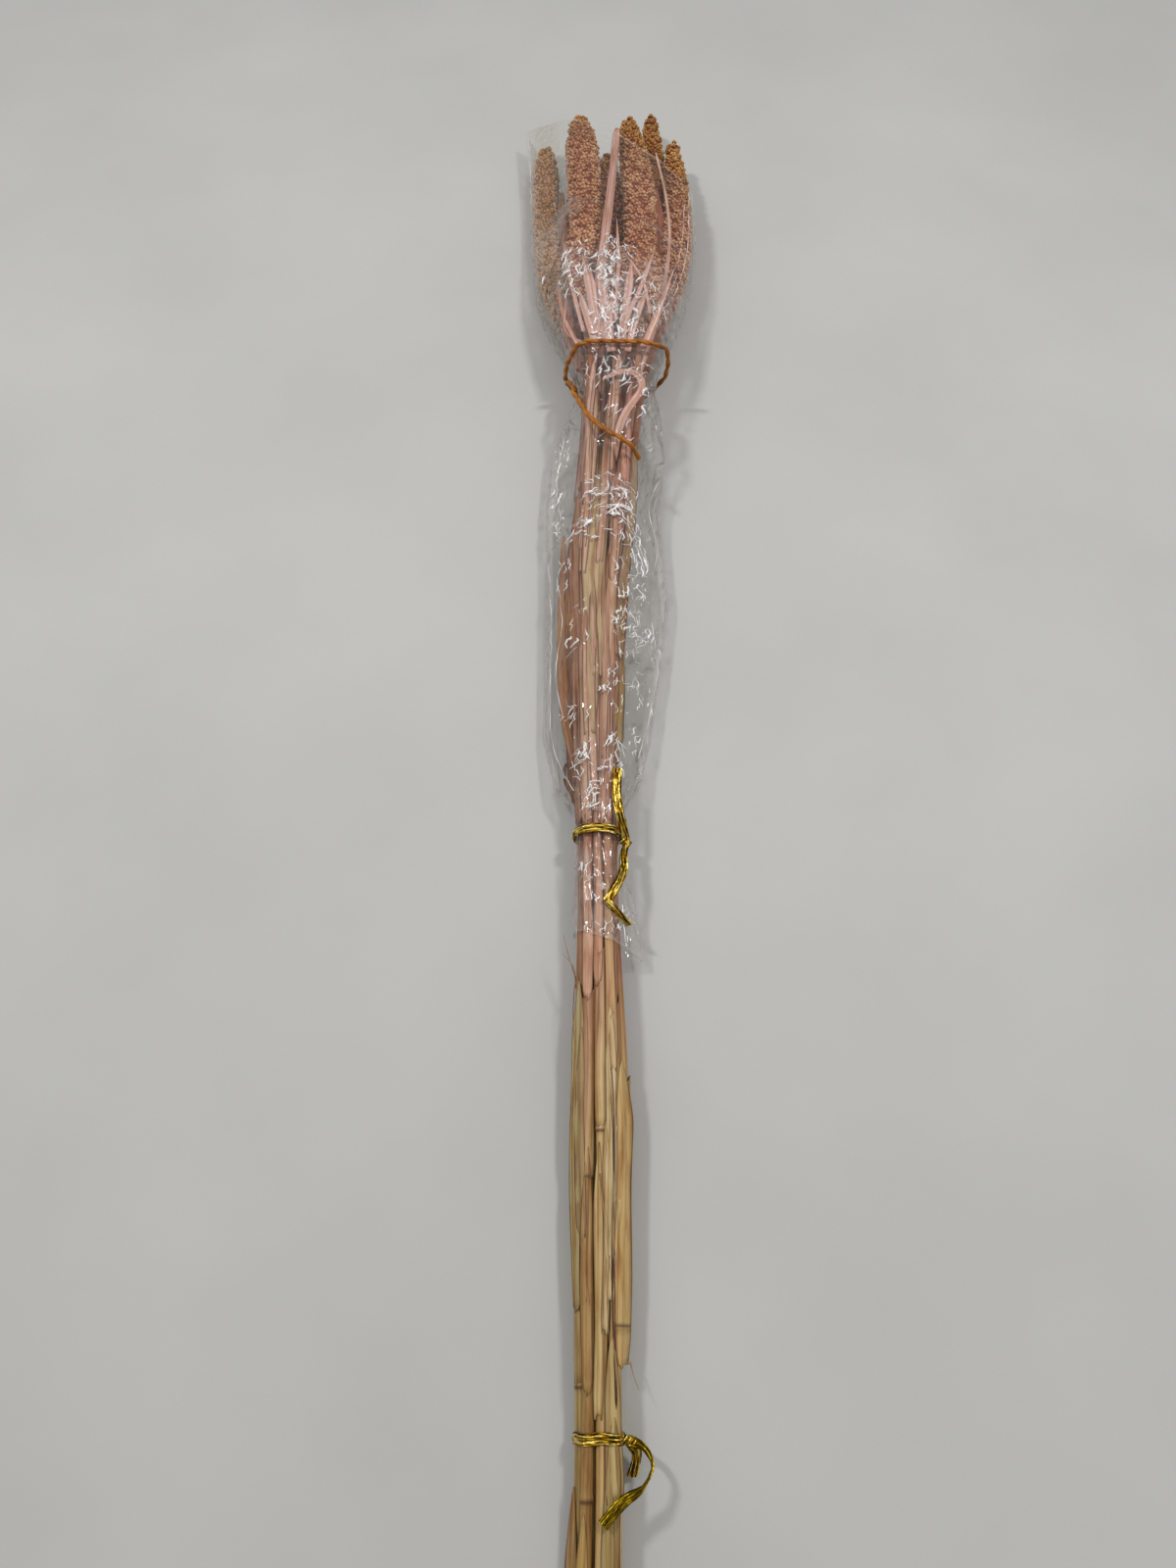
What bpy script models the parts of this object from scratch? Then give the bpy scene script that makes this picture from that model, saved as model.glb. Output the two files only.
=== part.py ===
"""A bundle of ten preserved millet stalks, lying down in its clear film sleeve.

Sizes below are in millimetres and MM turns them into Blender's metres, with +Z up. The bundle lies
along Y with its seed heads at +Y, on a surface at z = 0. The origin is on that surface, under the
middle of the whole bundle's box.
"""

import math
from collections import namedtuple

import bpy
import bmesh
import numpy as np

MM = 0.001

# How the ten stalks lie along the bundle: the bundle's middle line, and the spacing of its columns
# and rows, at the cut ends, lower tie, between the ties, upper tie, inside the film and at the neck
STATION_Y = (-436, -307, -196, -70, 64, 198)
BUNDLE_X = (-9.0, -6.5, -6.0, -7.1, -5.9, 2.6)
BUNDLE_Z = (9.2, 8.9, 12.5, 16.0, 21.0, 26.0)
COLUMN_PITCH = (6.4, 5.05, 6.0, 4.45, 8.2, 11.0)
ROW_PITCH = (5.8, 5.5, 5.8, 4.9, 8.5, 12.5)
LOOSE_SWAY = 0.3
TIGHT_PITCH = 5.05
TIE_SQUEEZE = 0.1
SQUEEZE_REACH = 55.0
SWAY_WAVE = 43.0
HEAD_MIDDLE_Y = 324
HEAD_FAN_Y = 262
HEAD_FAN_SHARE = 0.7

# Stem details
STEM_SIDES = 8
RING_STEP = 36
NODE_SWELLING = 0.35
NODE_HALF_LENGTH = 4.0
SHEATH_LIP = 0.6
JOINT_GAP = 0.3
BLADE_THICKNESS = 0.6

# Seed heads
HEAD_SIDES = 12
HEAD_RING_STEP = 7.0
HEAD_RELIEF = 0.9
LEAST_KNOB_SHARE = 0.6
HEAD_FOOT_RADIUS = 3.4
HEAD_SHOULDER = 66.0
HEAD_TIP_SHARE = 0.5

# Film sleeve
FILM_THICKNESS = 0.6
FILM_CLEARANCE = 0.55
FILM_SIDES = 26
FILM_SPANS = ((-121.6, 3), (-80, 2), (-60, 9), (110, 8), (180, 4), (212, 9), (384, 0))
FILM_SLANT = ((-121.6, -60, -30, 384), (-0.34, -0.1, -0.34, -0.73))
FILM_REACH = 16.0
FILM_GRID = 4.0
FILM_SPAN = 7.0
CRUMPLE_DEPTH = 1.1
FLAT_SPOT = (236.0, 352.0)

# The free side edges of the film, which stand out past the stalks
FILM_EDGE_Y = (-140, -98, -84, -60, -46, -15, 60, 120, 150, 176, 186, 212, 237, 273, 323, 430)
LEFT_EDGE_X = (-15.5, -15.5, -12, -12, -24, -30.5, -30, -31.5, -29.5, -20, -12, -12, -24, -37.5, -42.5, -49.5)
LEFT_EDGE_Z = (9, 12, 16, 16, 12, 7, 7, 8, 10, 18, 26, 26, 14, 10, 10, 14)
RIGHT_EDGE_X = (12, 6, -1, -1, 9, 16.5, 27, 24, 27, 24, 16, 16, 33, 42.5, 48.5, 50)
RIGHT_EDGE_Z = (7, 11, 16, 16, 12, 8, 8, 9, 12, 20, 26, 26, 18, 14, 15, 16)
EDGE_RADIUS = 1.5

# Rubber band, by the angle round the neck and the place along the bundle
BAND_RADIUS = 1.25
BAND_BEAD = 0.15
BAND_SIDES = 6
BAND_STEP = 4.0
BAND_GAP = 0.45
BAND_CENTRE = (3.1, 26.0)
BAND_ANGLES = (46, 88, 132, 160, 178, 225, 270, 360, 450, 540, 600)
BAND_PLACES = (130, 138.5, 156.5, 180, 194, 198, 199.5, 201.5, 201.5, 203, 205)

# Wire ties
TIE_WIDTH = 4.0
TIE_THICKNESS = 0.6
TAIL_LIFT = 1.4
UPPER_TIE_Y = -70
LOWER_TIE_Y = -307
TIE_SEGMENTS = 28
KNOT_RADII = (1.1, 1.9, 1.9, 1.2)
KNOT_SIDES = 6
KNOT_LENGTH = 1.6

Head = namedtuple("Head", "base middle tip radius taper")
Stalk = namedtuple("Stalk", "column row radius cut nodes sheaths head")

# Each head's base, its middle as (x, z), its tip as (x, y, z), its full radius and the length over
# which it slims to its tip. The three short heads on top have no middle of their own.
STALKS = {
    1: Stalk(-1.5, 0, 2.15, -433, (-404, -290, -245, -150, 4, 128), ((-285, -160, 0.3), (10, 120, 0.4)),
             Head(238, (-35.8, 10.4), (-38, 411, 12), 8.5, 32)),
    2: Stalk(-0.5, 0, 2.2, -436, (-384, -262, -174, -30, 92), ((-250, -140, 0.25), (100, 180, 0.5)),
             Head(232, (-12.4, 30.0), (-16.6, 416, 28), 10.6, 36)),
    3: Stalk(0, -1, 2.2, -430, (-396, -270, -160, -20, 110), ((-264, -140, 0.25), (116, 180, 0.5)),
             Head(236, (2.2, 10.6), (1, 404, 12), 8.9, 48)),
    4: Stalk(0.5, 0, 2.2, -434, (-372, -240, -152, -8, 118), ((-234, -160, 0.25), (0, 104, 0.4)),
             Head(230, (19.2, 29.3), (13.4, 414, 29), 10.3, 54)),
    5: Stalk(1, -1, 2.15, -427, (-388, -258, -166, -16, 104), ((-252, -150, 0.25), (-8, 96, 0.4)),
             Head(238, (26.8, 10.5), (29, 436, 16), 8.8, 60)),
    6: Stalk(1.5, 0, 2.25, -283, (-270, -186, -34, 84), ((-262, -176, 0.6), (-20, 76, 0.4)),
             Head(234, (42.0, 22.4), (41, 401, 22.5), 9.1, 82)),
    7: Stalk(0, 1, 2.15, -432, (-388, -199, -108, 20, 140), ((-190, -120, 0.25), (28, 130, 0.5)),
             Head(216, None, (3.6, 286, 43.4), 7.4, 29)),
    8: Stalk(-1, 1, 2.2, -436, (-326, -217, -116, 27), ((-208, -140, 0.35), (40, 170, 0.5)),
             Head(220, None, (-20.5, 292, 45), 7.1, 30)),
    9: Stalk(1, 1, 2.2, -425, (-374, -236, -118, 8, 132), ((-425, -362, 0.4), (-228, -143, 0.35), (14, 124, 0.5)),
             Head(216, None, (26, 277, 44.6), 6.9, 26)),
    10: Stalk(-1, -1, 2.2, -429, (-362, -232, -126, 0, 116), ((-226, -144, 0.25), (6, 108, 0.4)),
              Head(240, (-16.8, 10.4), (-16.4, 380, 11), 8.5, 50)),
}

# Leaf blades by stalk: each a route of (x, y, z) and half its width at root, belly and tip
Blade = namedtuple("Blade", "stalk route half_widths")
BLADES = (
    Blade(8, ((-8.6, 192, 37.5), (-7.2, 212, 43.5), (-5.4, 244, 48.6), (-1.8, 282, 49.3), (2.0, 330, 44.5),
              (6.2, 388, 40.5)), (1.6, 2.75, 2.2)),
    Blade(9, ((13.0, 178, 36.0), (18.8, 198, 39.6), (27.0, 228, 41.0), (31.8, 260, 39.0), (35.4, 298, 37.0),
              (34.4, 331, 36.0), (29.4, 372, 36.0)), (1.0, 1.1, 0.7)),
    Blade(7, ((1.8, 134, 32.5), (4.2, 147, 39.5), (7.6, 156.5, 42.6), (11.8, 164, 43.4), (15.8, 171, 43.6),
              (16.6, 178.5, 43.6), (13.2, 184, 43.6), (5.5, 185, 43.6), (-3.2, 180.5, 43.0)), (1.8, 2.2, 1.8)),
    Blade(1, ((-17.2, -34, 16.4), (-21.4, -14, 14.8), (-23.6, 16, 15.0), (-24.4, 56, 17.0), (-23.6, 96, 20.0)),
          (1.6, 2.6, 1.2)),
)

# Routes of the ties' tails as (x, y) from the knot, and their heights where nothing carries them
UPPER_KNOT = (5.6, -73.0, 17.5)
UPPER_TAIL_UP = ((5.8, -72.4), (3.8, -66.5), (1.7, -57.0), (2.0, -41.5))
UPPER_TAIL_DOWN = ((5.8, -73.4), (4.4, -80.0), (4.2, -88.0), (0.6, -98.0), (-3.2, -104.6), (1.0, -109.0),
                   (6.4, -113.6))
LOWER_KNOT = (3.4, -307.0, 13.5)
LOWER_TAIL = ((2.8, -307.6, 14.0), (8.6, -309.6, 14.6), (11.6, -314.6, 16.4), (8.6, -321.0, 18.4),
              (0.9, -326.0, 20.0), (-6.2, -333.0, 20.6))
LOWER_SHORT_TAIL = ((3.4, -307.6, 12.6), (6.2, -311.0, 10.6), (5.8, -315.4, 7.6), (4.6, -319.4, 4.8))

# Colour as linear RGB, roughness and metallic value
FINISHES = {
    "millet_head": ((0.41, 0.20, 0.12), 0.9, 0.0),
    "stalk": ((0.50, 0.29, 0.17), 0.65, 0.0),
    "film_sleeve": ((0.82, 0.84, 0.84), 0.1, 0.0),
    "rubber_band": ((0.45, 0.15, 0.01), 0.45, 0.0),
    "wire_tie": ((0.60, 0.42, 0.06), 0.3, 1.0),
}


def clear_scene():
    for thing in list(bpy.data.objects):
        bpy.data.objects.remove(thing, do_unlink=True)


def smooth_curve(places, values, place):
    """The value at a place on a smooth curve through the given ones."""
    places = np.asarray(places, float)
    values = np.asarray(values, float)
    slopes = np.gradient(values, places, axis=0)
    slopes[0] = (values[1] - values[0]) / (places[1] - places[0])
    slopes[-1] = (values[-1] - values[-2]) / (places[-1] - places[-2])
    place = np.clip(place, places[0], places[-1])
    left = np.clip(np.searchsorted(places, place) - 1, 0, len(places) - 2)
    span = places[left + 1] - places[left]
    t = (place - places[left]) / span
    if values.ndim > 1:
        t = np.asarray(t)[..., None]
        span = np.asarray(span)[..., None]
    rise = 3 * t**2 - 2 * t**3
    leave = t**3 - 2 * t**2 + t
    arrive = t**3 - t**2
    return values[left] * (1 - rise) + values[left + 1] * rise + span * (leave * slopes[left] + arrive * slopes[left + 1])


def slot(stalk, number, y):
    """Where a stalk lies in the bundle's columns and rows, as (x, z)."""
    pitch = np.interp(y, STATION_Y, COLUMN_PITCH)
    sway = LOOSE_SWAY * max(0.0, pitch - TIGHT_PITCH) * math.sin(y / SWAY_WAVE + 2.4 * number)
    x = np.interp(y, STATION_Y, BUNDLE_X) + stalk.column * pitch + sway
    z = np.interp(y, STATION_Y, BUNDLE_Z) + stalk.row * np.interp(y, STATION_Y, ROW_PITCH)
    return x, z


def stalk_line(number):
    """A stalk's middle line from its cut end to its head's tip, as places along Y and points (x, z)."""
    stalk = STALKS[number]
    places = [y for y in STATION_Y if y > stalk.cut + 20]
    places.insert(0, stalk.cut)
    points = [slot(stalk, number, y) for y in places]
    if stalk.head.middle:
        neck = np.array(points[-1])
        places += [HEAD_FAN_Y, HEAD_MIDDLE_Y]
        points += [neck + HEAD_FAN_SHARE * (np.array(stalk.head.middle) - neck), stalk.head.middle]
    tip_x, tip_y, tip_z = stalk.head.tip
    return places + [tip_y], points + [(tip_x, tip_z)]


LINES = {number: stalk_line(number) for number in STALKS}


def middle(number, y):
    return smooth_curve(*LINES[number], y)


def stem_radius(number, y):
    """Culm, thicker under a sheath, swollen at each node and squeezed by the upper tie."""
    stalk = STALKS[number]
    sheath = max([extra for low, top, extra in stalk.sheaths if low <= y <= top], default=0.0)
    swelling = sum(NODE_SWELLING * max(0.0, 1 - abs(y - node) / NODE_HALF_LENGTH) for node in stalk.nodes)
    squeeze = 1 - TIE_SQUEEZE * max(0.0, 1 - abs(y - UPPER_TIE_Y) / SQUEEZE_REACH)
    return stalk.radius * squeeze + sheath + swelling


def head_radius(number, y):
    """Foot, shoulder and body of a head, drawn in towards a blunt round tip."""
    head = STALKS[number].head
    tip_y = head.tip[1]
    length = tip_y - head.base
    rise = min(1.0, (y - head.base) / min(HEAD_SHOULDER, 0.5 * length))
    body = HEAD_FOOT_RADIUS + (head.radius - HEAD_FOOT_RADIUS) * math.sin(rise * math.pi / 2) ** 1.3
    to_tip = (tip_y - y) / head.taper
    slim = 1.0 if to_tip >= 1 else HEAD_TIP_SHARE + (1 - HEAD_TIP_SHARE) * math.sin(to_tip * math.pi / 2)
    round_end = head.radius * HEAD_TIP_SHARE
    end = 1.0 if tip_y - y > round_end else math.sqrt(max(0.0, 1 - ((round_end - tip_y + y) / round_end) ** 2))
    return body * slim * end


def mesh_object(name, points, faces, finish):
    """One closed solid from points in millimetres, with its faces turned outwards."""
    mesh = bpy.data.meshes.new(name)
    mesh.from_pydata([tuple(c * MM for c in point) for point in points], [], faces)
    solid = bmesh.new()
    solid.from_mesh(mesh)
    bmesh.ops.remove_doubles(solid, verts=solid.verts, dist=1e-7)
    bmesh.ops.recalc_face_normals(solid, faces=solid.faces)
    solid.to_mesh(mesh)
    solid.free()
    mesh.shade_smooth()
    mesh.materials.append(finish_material(name, finish))
    thing = bpy.data.objects.new(name, mesh)
    bpy.context.scene.collection.objects.link(thing)
    return thing


def finish_material(name, finish):
    colour, roughness, metallic = FINISHES[finish]
    material = bpy.data.materials.new(name)
    material.use_nodes = True
    shader = material.node_tree.nodes["Principled BSDF"]
    shader.inputs["Base Color"].default_value = (*colour, 1)
    shader.inputs["Roughness"].default_value = roughness
    shader.inputs["Metallic"].default_value = metallic
    return material


def skin(rings):
    """Points and faces of a body whose sections are the given rings, closed by a fan at each end."""
    rings = [np.asarray(ring, float) for ring in rings]
    sides = len(rings[0])
    points = [point for ring in rings for point in ring]
    faces = []
    for row in range(len(rings) - 1):
        for side in range(sides):
            after = (side + 1) % sides
            faces.append((row * sides + side, row * sides + after, (row + 1) * sides + after, (row + 1) * sides + side))
    for row, turn in ((0, -1), (len(rings) - 1, 1)):
        points.append(rings[row].mean(axis=0))
        for side in range(sides):
            corners = (row * sides + side, row * sides + (side + 1) % sides, len(points) - 1)
            faces.append(corners[::turn])
    return points, faces


def unite(body, pieces):
    """Fuses pieces into a body with one Boolean union, and removes them."""
    group = bpy.data.collections.new("union")
    bpy.context.scene.collection.children.link(group)
    for piece in pieces:
        bpy.context.scene.collection.objects.unlink(piece)
        group.objects.link(piece)
    union = body.modifiers.new("union", "BOOLEAN")
    union.operation = "UNION"
    union.operand_type = "COLLECTION"
    union.collection = group
    union.solver = "EXACT"
    bpy.context.view_layer.update()
    graph = bpy.context.evaluated_depsgraph_get()
    joined = bpy.data.meshes.new_from_object(body.evaluated_get(graph))
    body.modifiers.clear()
    body.data = joined
    joined.name = body.name
    while len(joined.materials) > 1:
        joined.materials.pop(index=1)
    for piece in pieces:
        bpy.data.objects.remove(piece, do_unlink=True)
    bpy.data.collections.remove(group)


def stem_places(number):
    """Where a stem has a section: evenly along it, and at each node and sheath end."""
    stalk = STALKS[number]
    end = stalk.head.base - JOINT_GAP
    places = set(np.linspace(stalk.cut, end, int((end - stalk.cut) / RING_STEP) + 1))
    places |= {UPPER_TIE_Y - SQUEEZE_REACH, float(UPPER_TIE_Y), UPPER_TIE_Y + SQUEEZE_REACH}
    for node in stalk.nodes:
        places = {y for y in places if abs(y - node) > NODE_HALF_LENGTH + 3 or y in (stalk.cut, end)}
        places |= {node - NODE_HALF_LENGTH, float(node), node + NODE_HALF_LENGTH}
    for low, top, _ in stalk.sheaths:
        places = {y for y in places if abs(y - top) > 3 or y in (stalk.cut, end)}
        places |= {top - SHEATH_LIP, top + SHEATH_LIP}
        if low > stalk.cut + 10:
            places |= {low - SHEATH_LIP, low + SHEATH_LIP}
    return sorted(places)


def make_stem(number):
    turns = np.arange(STEM_SIDES) * 2 * math.pi / STEM_SIDES
    rings = []
    for y in stem_places(number):
        x, z = middle(number, y)
        radius = stem_radius(number, y)
        rings.append([(x + radius * math.cos(t), y, z + radius * math.sin(t)) for t in turns])
    stem = mesh_object(f"stalk_{number:02d}", *skin(rings), "stalk")
    blades = [make_blade(blade) for blade in BLADES if blade.stalk == number]
    if blades:
        unite(stem, blades)


def blade_route(blade, step=9.0):
    """Evenly spaced points along a blade's smooth route, with half its width at each."""
    route = np.array(blade.route, float)
    run = np.concatenate([[0], np.cumsum(np.linalg.norm(np.diff(route, axis=0), axis=1))])
    places = np.linspace(0, run[-1], max(8, int(run[-1] / step)))
    halves = np.interp(places / run[-1], (0, 0.35, 1), blade.half_widths)
    return smooth_curve(run, route, places), halves


def ribbon(points, halves, thickness, ups=None):
    """A flat strip along points, as rings of four corners. Its flat side faces up unless told."""
    points = np.asarray(points, float)
    along = np.gradient(points, axis=0)
    rings = []
    for number, (point, half) in enumerate(zip(points, halves)):
        up = np.array((0, 0, 1.0)) if ups is None else np.asarray(ups[number], float)
        side = np.cross(along[number], up)
        side /= np.linalg.norm(side)
        up = np.cross(side, along[number])
        up /= np.linalg.norm(up)
        lift = up * thickness / 2
        rings.append([point - side * half - lift, point + side * half - lift,
                      point + side * half + lift, point - side * half + lift])
    return rings


def make_blade(blade):
    points, halves = blade_route(blade)
    return mesh_object("blade", *skin(ribbon(points, halves, BLADE_THICKNESS)), "stalk")


def make_head(number):
    """A head with knobs all round, as staggered high and low points on its sections."""
    head = STALKS[number].head
    length = head.tip[1] - head.base
    count = int(length / HEAD_RING_STEP)
    places = head.base + length * (1 - np.cos(np.linspace(0.25, math.pi, count + 1))) / 2
    places = head.base + (places - places[0]) * length / (places[-1] - places[0])
    rings = []
    for row, y in enumerate(places[:-1]):
        x, z = middle(number, y)
        full = head_radius(number, y)
        ring = []
        for side in range(HEAD_SIDES):
            turn = (side + 0.5 * (row % 2)) * 2 * math.pi / HEAD_SIDES
            low = HEAD_RELIEF * ((side + row // 2) % 2) if 0 < row else 0
            radius = max(LEAST_KNOB_SHARE * full, full - low)
            ring.append((x + radius * math.cos(turn), y, z + radius * math.sin(turn)))
        rings.append(ring)
    points, faces = skin(rings)
    tip_x, tip_y, tip_z = head.tip
    points[-1] = (tip_x, tip_y, tip_z)
    mesh_object(f"millet_head_{number:02d}", points, faces, "millet_head")


def section(y, with_film=True):
    """Round outlines (x, z, radius) of all that the film holds at a place along the bundle."""
    rounds = []
    for number, stalk in STALKS.items():
        if stalk.cut <= y <= stalk.head.base:
            rounds.append((*middle(number, y), stem_radius(number, y)))
        elif stalk.head.base < y <= stalk.head.tip[1]:
            rounds.append((*middle(number, y), head_radius(number, y)))
    if not with_film:
        return rounds
    for blade in BLADES:
        points, halves = blade_route(blade)
        near = np.abs(points[:, 1] - y) < FILM_GRID
        for (x, _, z), half in zip(points[near], halves[near]):
            rounds.append((x - half, z, BLADE_THICKNESS))
            rounds.append((x + half, z, BLADE_THICKNESS))
    return rounds


FILM_TURNS = (np.arange(FILM_SIDES) + 0.5) * 2 * math.pi / FILM_SIDES
WAYS = np.stack([np.cos(FILM_TURNS), np.sin(FILM_TURNS)], axis=1)


def reach(rounds):
    """How far the outlines reach in each of the film's directions."""
    rounds = np.array(rounds)
    return (rounds[:, :2] @ WAYS.T + rounds[:, 2:]).max(axis=0)


GRID_Y = np.arange(-152.0, 434.0, FILM_GRID)
WRAP = np.array([reach(section(y)) for y in GRID_Y])


def film_reach(y):
    """The film's distance from the Y axis in each direction, clear of all that it holds nearby."""
    near = np.abs(GRID_Y - y) <= FILM_REACH
    edges = [(np.interp(y, FILM_EDGE_Y, edge_x), np.interp(y, FILM_EDGE_Y, edge_z), EDGE_RADIUS)
             for edge_x, edge_z in ((LEFT_EDGE_X, LEFT_EDGE_Z), (RIGHT_EDGE_X, RIGHT_EDGE_Z))]
    spread = np.maximum(WRAP[near].max(axis=0), reach(edges)) + FILM_CLEARANCE + FILM_THICKNESS
    down = np.argmin(WAYS[:, 1])
    if FLAT_SPOT[0] <= y <= FLAT_SPOT[1]:
        spread[down] = 0.0
    else:
        spread[down] = min(spread[down], 0.0)
    return spread


def corners(spread):
    """Corners of the outline whose sides lie at the given distances, as (x, z)."""
    after = np.roll(spread, -1)
    turn = FILM_TURNS
    turn_after = np.roll(FILM_TURNS, -1)
    sine = np.sin(turn_after - turn)
    x = (spread * np.sin(turn_after) - after * np.sin(turn)) / sine
    z = (after * np.cos(turn) - spread * np.cos(turn_after)) / sine
    return x, z


def film_ring(y_middle, slope, inset):
    """One slanting section of the film, its outer face moved in by an inset."""
    y = np.full(FILM_SIDES, y_middle)
    for _ in range(4):
        pairs = [corners(film_reach(place) - inset) for place in y]
        x = np.array([pair[0][number] for number, pair in enumerate(pairs)])
        z = np.array([pair[1][number] for number, pair in enumerate(pairs)])
        y = y_middle + slope * x
    return np.stack([x, y, z], axis=1)


def make_film():
    places = [FILM_SPANS[-1][0]]
    for (low, count), (high, _) in zip(FILM_SPANS, FILM_SPANS[1:]):
        places += list(np.linspace(low, high, count, endpoint=False))
    places.sort()
    slants = np.interp(places, *FILM_SLANT)
    outer = [film_ring(y, slant, 0.0) for y, slant in zip(places, slants)]
    inner = [film_ring(y, slant, FILM_THICKNESS) for y, slant in zip(places, slants)]
    points = np.concatenate(outer + inner)
    faces = []
    start = len(places) * FILM_SIDES
    for row in range(len(places) - 1):
        for side in range(FILM_SIDES):
            after = (side + 1) % FILM_SIDES
            a, b = row * FILM_SIDES + side, row * FILM_SIDES + after
            c, d = b + FILM_SIDES, a + FILM_SIDES
            faces.append((a, b, c, d))
            faces.append((start + d, start + c, start + b, start + a))
    for row in (0, len(places) - 1):
        for side in range(FILM_SIDES):
            a = row * FILM_SIDES + side
            b = row * FILM_SIDES + (side + 1) % FILM_SIDES
            faces.append((a, b, start + b, start + a))
    mesh_object("film_sleeve", points, faces, "film_sleeve")


def outline_distance(spread, centre, angle):
    """Distance from a centre to the outline, in the direction of an angle."""
    way = np.array((math.cos(angle), math.sin(angle)))
    facing = WAYS @ way
    ahead = facing > 0.05
    return ((spread - WAYS @ np.array(centre))[ahead] / facing[ahead]).min()


def film_around(y):
    """The film's reach at a place, or just before or after it where that is more."""
    return np.max([film_reach(y + near) for near in (-FILM_SPAN, 0, FILM_SPAN)], axis=0)


def film_top(x, y):
    """Height of the film's upper side at a point seen from above."""
    spread = film_around(y)
    up = WAYS[:, 1] > 0.05
    return ((spread[up] - x * WAYS[up, 0]) / WAYS[up, 1]).min()


def tube(points, radii, sides):
    """Sections of a round body along points."""
    points = np.asarray(points, float)
    along = np.gradient(points, axis=0)
    up = np.array((0, 1.0, 0))
    rings = []
    for point, way, radius in zip(points, along, radii):
        way = way / np.linalg.norm(way)
        up = up - way * (up @ way)
        up /= np.linalg.norm(up)
        side = np.cross(way, up)
        turns = np.arange(sides) * 2 * math.pi / sides
        rings.append([point + radius * (math.cos(t) * up + math.sin(t) * side) for t in turns])
    return rings


def make_band():
    """The band's open winding: a free end across the front, once behind, over the top and behind."""
    fine = np.linspace(BAND_ANGLES[0], BAND_ANGLES[-1], 600)
    places = smooth_curve(BAND_ANGLES, BAND_PLACES, fine)
    points = []
    for angle, y in zip(np.radians(fine), places):
        distance = outline_distance(film_around(y), BAND_CENTRE, angle) + BAND_RADIUS + BAND_BEAD + BAND_GAP
        points.append((BAND_CENTRE[0] + distance * math.cos(angle), y, BAND_CENTRE[1] + distance * math.sin(angle)))
    points = np.array(points)
    run = np.concatenate([[0], np.cumsum(np.linalg.norm(np.diff(points, axis=0), axis=1))])
    even = np.linspace(0, run[-1], int(run[-1] / BAND_STEP))
    even_points = np.stack([np.interp(even, run, points[:, axis]) for axis in range(3)], axis=1)
    radii = [BAND_RADIUS + BAND_BEAD * (number % 2) for number in range(len(even))]
    mesh_object("rubber_band", *skin(tube(even_points, radii, BAND_SIDES)), "rubber_band")


def tie_ring(y, spread, centre):
    """A flat strip bent round the bundle, closed on itself."""
    rings = []
    for turn in np.arange(TIE_SEGMENTS) * 2 * math.pi / TIE_SEGMENTS:
        distance = outline_distance(spread, centre, turn) + JOINT_GAP
        corners_at = []
        for out, along in ((0, -1), (0, 1), (TIE_THICKNESS, 1), (TIE_THICKNESS, -1)):
            r = distance + out
            corners_at.append((centre[0] + r * math.cos(turn), y + along * TIE_WIDTH / 2,
                               centre[1] + r * math.sin(turn)))
        rings.append(corners_at)
    points = [corner for ring in rings for corner in ring]
    faces = []
    for number in range(TIE_SEGMENTS):
        following = (number + 1) % TIE_SEGMENTS
        for side in range(4):
            after = (side + 1) % 4
            faces.append((number * 4 + side, number * 4 + after, following * 4 + after, following * 4 + side))
    return points, faces


def knot(centre, reach_in):
    """The twist where the wires cross, from inside the ring to just past it."""
    x, y, z = centre
    points = [(x - reach_in, y, z), (x - reach_in / 3, y, z), (x + KNOT_LENGTH / 4, y, z), (x + KNOT_LENGTH, y, z)]
    return tube(points, KNOT_RADII, KNOT_SIDES)


def tail(points):
    """A stiff flat tail through points, folded where its route turns."""
    points = np.array(points, float)
    run = np.concatenate([[0], np.cumsum(np.linalg.norm(np.diff(points, axis=0), axis=1))])
    even = np.linspace(0, run[-1], max(6, int(run[-1] / 4)))
    route = smooth_curve(run, points, even)
    return ribbon(route, np.full(len(route), TIE_WIDTH / 2), TIE_THICKNESS)


def tail_height(x, y):
    """Where a tail lies on the film, or level with the knot past the film's side."""
    on_film = max(film_top(x - TIE_WIDTH / 2, y), film_top(x + TIE_WIDTH / 2, y))
    return max(UPPER_KNOT[2], on_film + TAIL_LIFT)


def make_upper_tie():
    spread = film_around(UPPER_TIE_Y)
    centre = (BUNDLE_X[3], BUNDLE_Z[3])
    ring = mesh_object("wire_tie_upper", *tie_ring(UPPER_TIE_Y, spread, centre), "wire_tie")
    tails = [tail([(x, y, tail_height(x, y)) for x, y in route]) for route in (UPPER_TAIL_UP, UPPER_TAIL_DOWN)]
    pieces = [mesh_object("piece", *skin(rings), "wire_tie") for rings in (knot(UPPER_KNOT, 2.2), *tails)]
    unite(ring, pieces)


def make_lower_tie():
    spread = reach(section(LOWER_TIE_Y - 2, False) + section(LOWER_TIE_Y + 2, False))
    centre = (BUNDLE_X[1], BUNDLE_Z[1])
    ring = mesh_object("wire_tie_lower", *tie_ring(LOWER_TIE_Y, spread, centre), "wire_tie")
    pieces = [mesh_object("piece", *skin(rings), "wire_tie")
              for rings in (knot(LOWER_KNOT, 2.2), tail(LOWER_TAIL), tail(LOWER_SHORT_TAIL))]
    unite(ring, pieces)


def main():
    clear_scene()
    for number in STALKS:
        make_stem(number)
        make_head(number)
    make_film()
    make_band()
    make_upper_tie()
    make_lower_tie()


main()
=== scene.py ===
"""Looks for the bundle of preserved millet: seed heads, straw, clear film, rubber band and foil ties.

Places and sizes are in millimetres, in the part's own frame, and MM turns them into metres.
"""

import math
from collections import namedtuple

import bpy
import numpy as np
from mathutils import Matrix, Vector, kdtree, noise
from mathutils.bvhtree import BVHTree


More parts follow.
